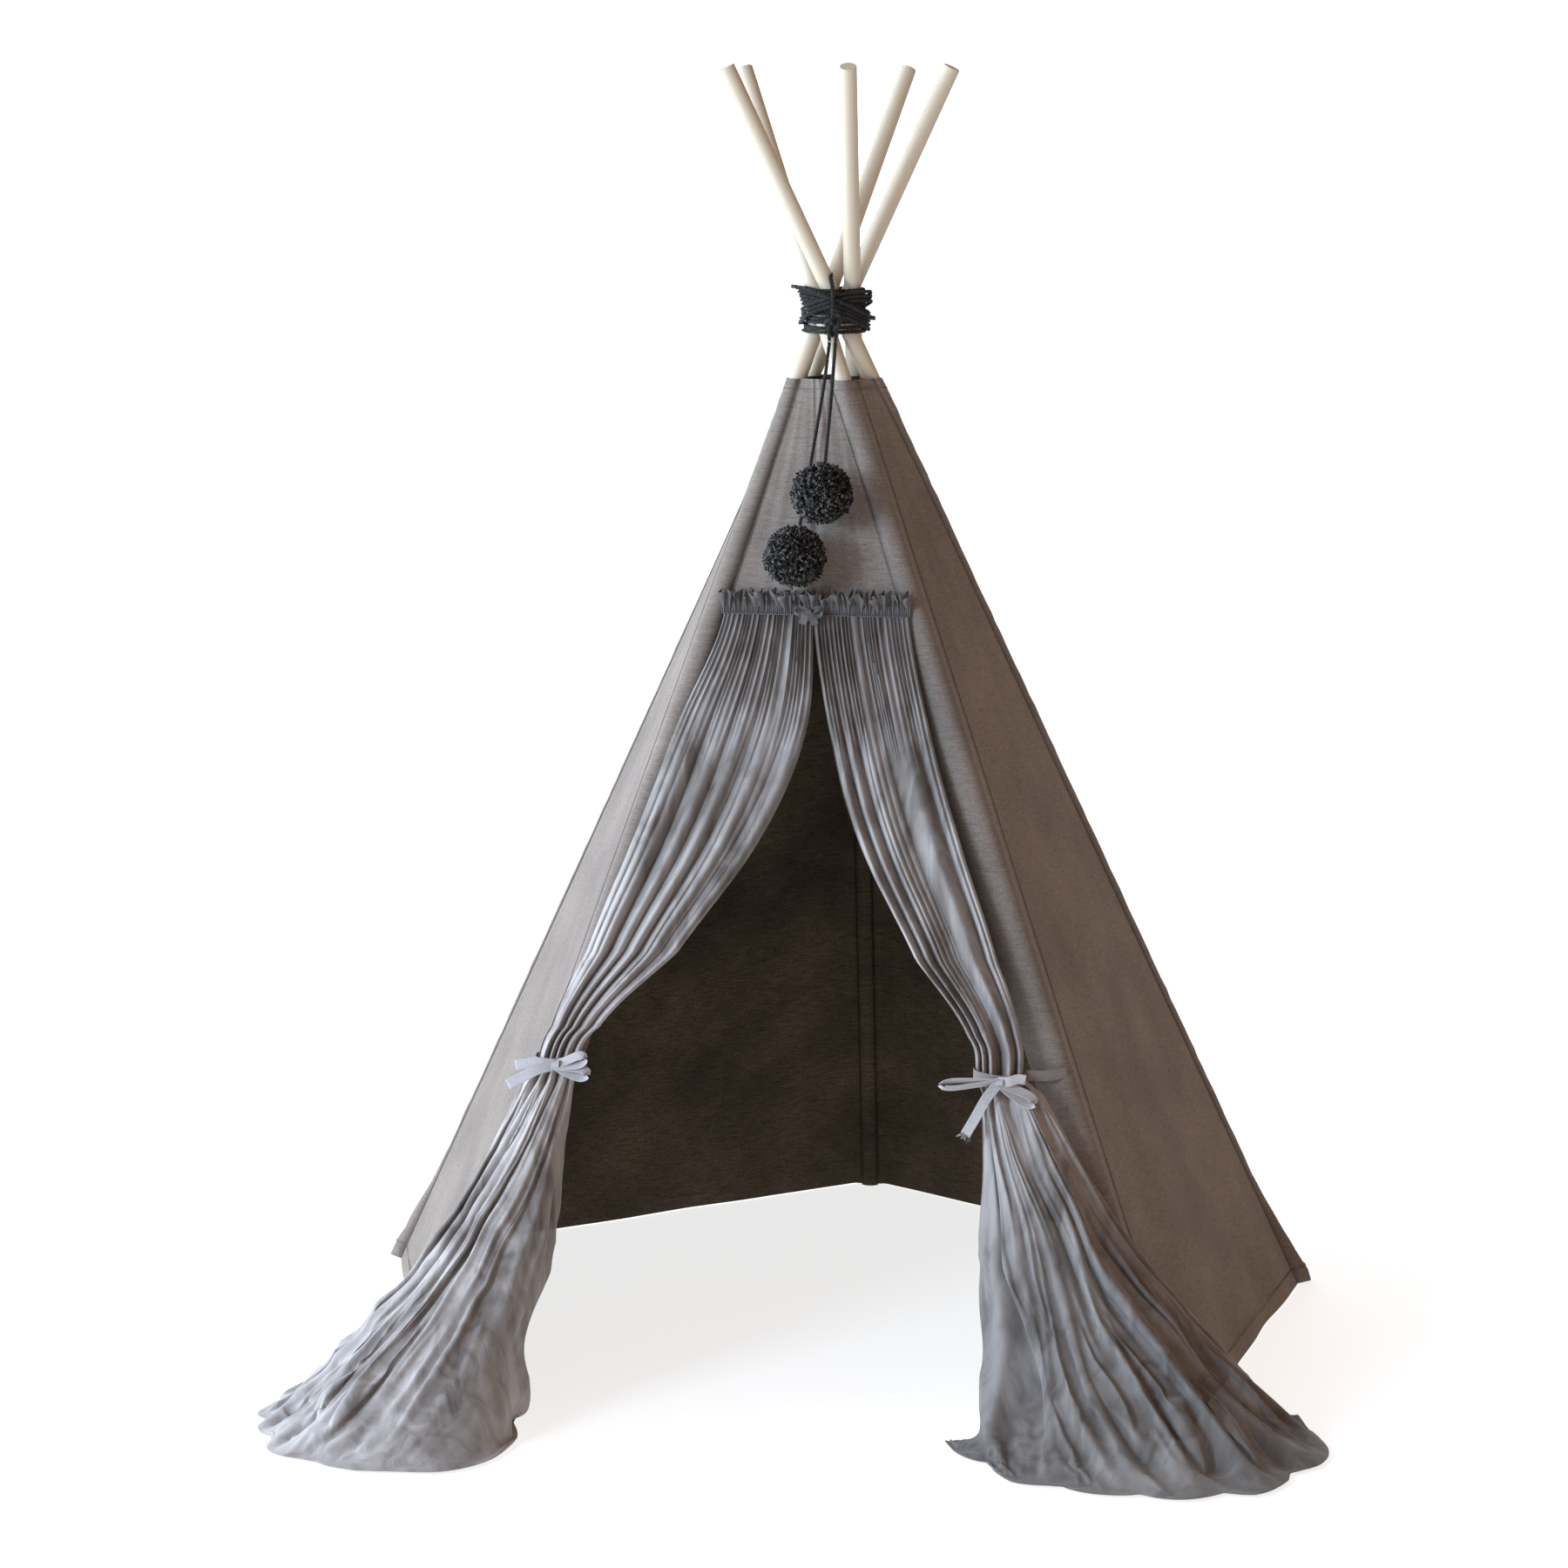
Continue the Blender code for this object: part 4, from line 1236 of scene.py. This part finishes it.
def bow_loop(knot, direction, length, width, forward):
    """A loop of ribbon that leaves the knot, turns back in front of itself and returns."""
    direction = direction.normalized()
    side = direction.cross(forward).normalized()
    stops = [
        knot.copy(),
        knot + direction * (length * 0.35) + side * (width * 0.30) + forward * (width * 0.25),
        knot + direction * (length * 0.80) + side * (width * 0.42) + forward * (width * 0.25),
        knot + direction * length + side * (width * 0.05) + forward * (width * 0.15),
        knot + direction * (length * 0.82) - side * (width * 0.30),
        knot + direction * (length * 0.35) - side * (width * 0.12),
        knot - forward * 0.001,
    ]
    return ribbon(curve_through(stops, 40), width, (forward * 0.75 + side * 0.66).normalized())


def bow_tail(knot, direction, length, width, forward, seed):
    """A loose end that leaves the knot, falls a little and twists."""
    direction = direction.normalized()
    side = direction.cross(forward).normalized()
    stops = [
        knot.copy(),
        knot + direction * (length * 0.35) + forward * 0.003 + side * (0.002 * math.sin(seed)),
        knot + direction * (length * 0.70) - UP * 0.002 + forward * 0.001,
        knot + direction * length - UP * 0.006 - forward * 0.001,
    ]
    turned = (side + forward * 0.35 * math.cos(seed * 2.0)).normalized()
    return ribbon(curve_through(stops, 24), width, (side, turned))


def frayed_end(place, direction, width, forward, seed):
    """Loose threads at a cut end of ribbon."""
    rng = random.Random(seed)
    direction = direction.normalized()
    side = direction.cross(forward).normalized()
    parts = []
    for _ in range(26):
        start = place + side * (rng.uniform(-0.48, 0.48) * width) - direction * 0.001
        sway = side * rng.gauss(0, 0.002) + forward * rng.gauss(0, 0.001)
        reach = rng.uniform(0.003, 0.009)
        line = [start, start + direction * reach * 0.5 + sway * 0.3, start + direction * reach + sway]
        parts.append(tube(line, 0.00018, 4))
    return joined(parts)


def wrap(centre, half_wide, half_deep, width, tilt):
    """A ribbon drawn round a bundle, its own ends overlapping behind."""
    points = []
    for i in range(49):
        angle = math.radians(100 + 370 * i / 48)
        dip = tilt * math.cos(angle)
        points.append(centre + Vector((half_wide * math.cos(angle), half_deep * math.sin(angle), dip)))
    return ribbon(points, width, UP)


def make_tie(label):
    """A ribbon round the curtain, sewn to its pole's sleeve by one end and tied in a bow in front."""
    curtain, tie = CURTAINS[label], TIES[label]
    pole = curtain["pole"]
    neck = curtain["neck"]
    centre = front_point(neck.x, neck.z, NECK_OUT)
    half_wide, half_deep, tilt = tie["ring"]
    toward = Vector((math.cos(math.radians(tie["arm"])), math.sin(math.radians(tie["arm"])), 0))
    sewn = pole_point(pole, neck.z) + toward * (SLEEVE + 0.003)
    bend = centre + Vector((math.copysign(half_wide, sewn.x - centre.x), half_deep * 0.2, 0))
    arm = curve_through([bend, bend.lerp(sewn, 0.55) + Vector((0, -0.003, -0.002)), sewn], 14)
    parts = [wrap(centre, half_wide, half_deep, RIBBON_WIDTH, tilt), ribbon(arm, RIBBON_WIDTH, UP)]
    # The band and arm take the darkened ribbon material: painted shade.
    strap = mesh_object(f"tie_{label}", *joined(parts), SHADED_RIBBON)
    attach(strap, f"{pole}_leg")
    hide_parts(f"tie_strap_{label}")
    knot = centre + Vector((0, -half_deep - 0.0065, 0))
    make_bow(f"bow_{label}", knot, tie, RIBBON_WIDTH, RIBBON, f"{pole}_leg")
    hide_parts(f"tie_bow_{label}")


def make_bow(name, knot, tie, width, material, body):
    forward = Vector((0, -1, 0))
    parts, reach = [], 0.0
    for direction, length in tie["loops"]:
        parts.append(bow_loop(knot, Vector(direction), length, width, forward))
        reach += 2.1 * length
    for k, (direction, length) in enumerate(tie["tails"]):
        parts.append(bow_tail(knot, Vector(direction), length, width * 0.95, forward, k + 1))
        reach += length
        if k in tie["frayed"]:
            tip = knot + Vector(direction).normalized() * length - UP * 0.006
            parts.append(frayed_end(tip, Vector(direction), width, forward, k))
    turns = []
    for i in range(33):
        angle = math.radians(i * 400 / 32)
        size = width * (0.34 + 0.03 * i / 32)
        turns.append(knot + Vector((0.0, -math.cos(angle) * size, math.sin(angle) * size * 1.1)))
    parts.append(ribbon(turns, width * 0.72, Vector((1, 0, 0.15))))
    reach += 2.2 * width
    bow = mesh_object(name, *joined(parts), material)
    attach(bow, body)
    return bow


def make_heading_bow():
    """A small bow of the curtains' own cloth where the two headings meet."""
    low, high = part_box("heading_bow")
    width = 0.0105
    tie = {
        "loops": (((-1, 0, 0.1), 0.015), ((1, 0, 0.1), 0.016)),
        "tails": (((-0.6, -0.1, -0.7), 0.012), ((0.6, -0.1, -0.7), 0.013)),
        "frayed": (),
    }
    knot = Vector(((low.x + high.x) / 2, 0, 0.963))
    knot = front_point(knot.x, knot.z, 0.020)
    # The bow takes the darkened curtain cloth: painted shade.
    bow = make_bow("bow_heading", knot, tie, width, SHADED_RUFFLE, "cover")
    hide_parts("heading_bow")


def make_curtains():
    for label in CURTAINS:
        make_curtain(label)
        make_tie(label)
    make_heading_bow()


make_camera()
make_floor()
make_light()
make_rope()
dress_poles()
make_cover()
make_curtains()
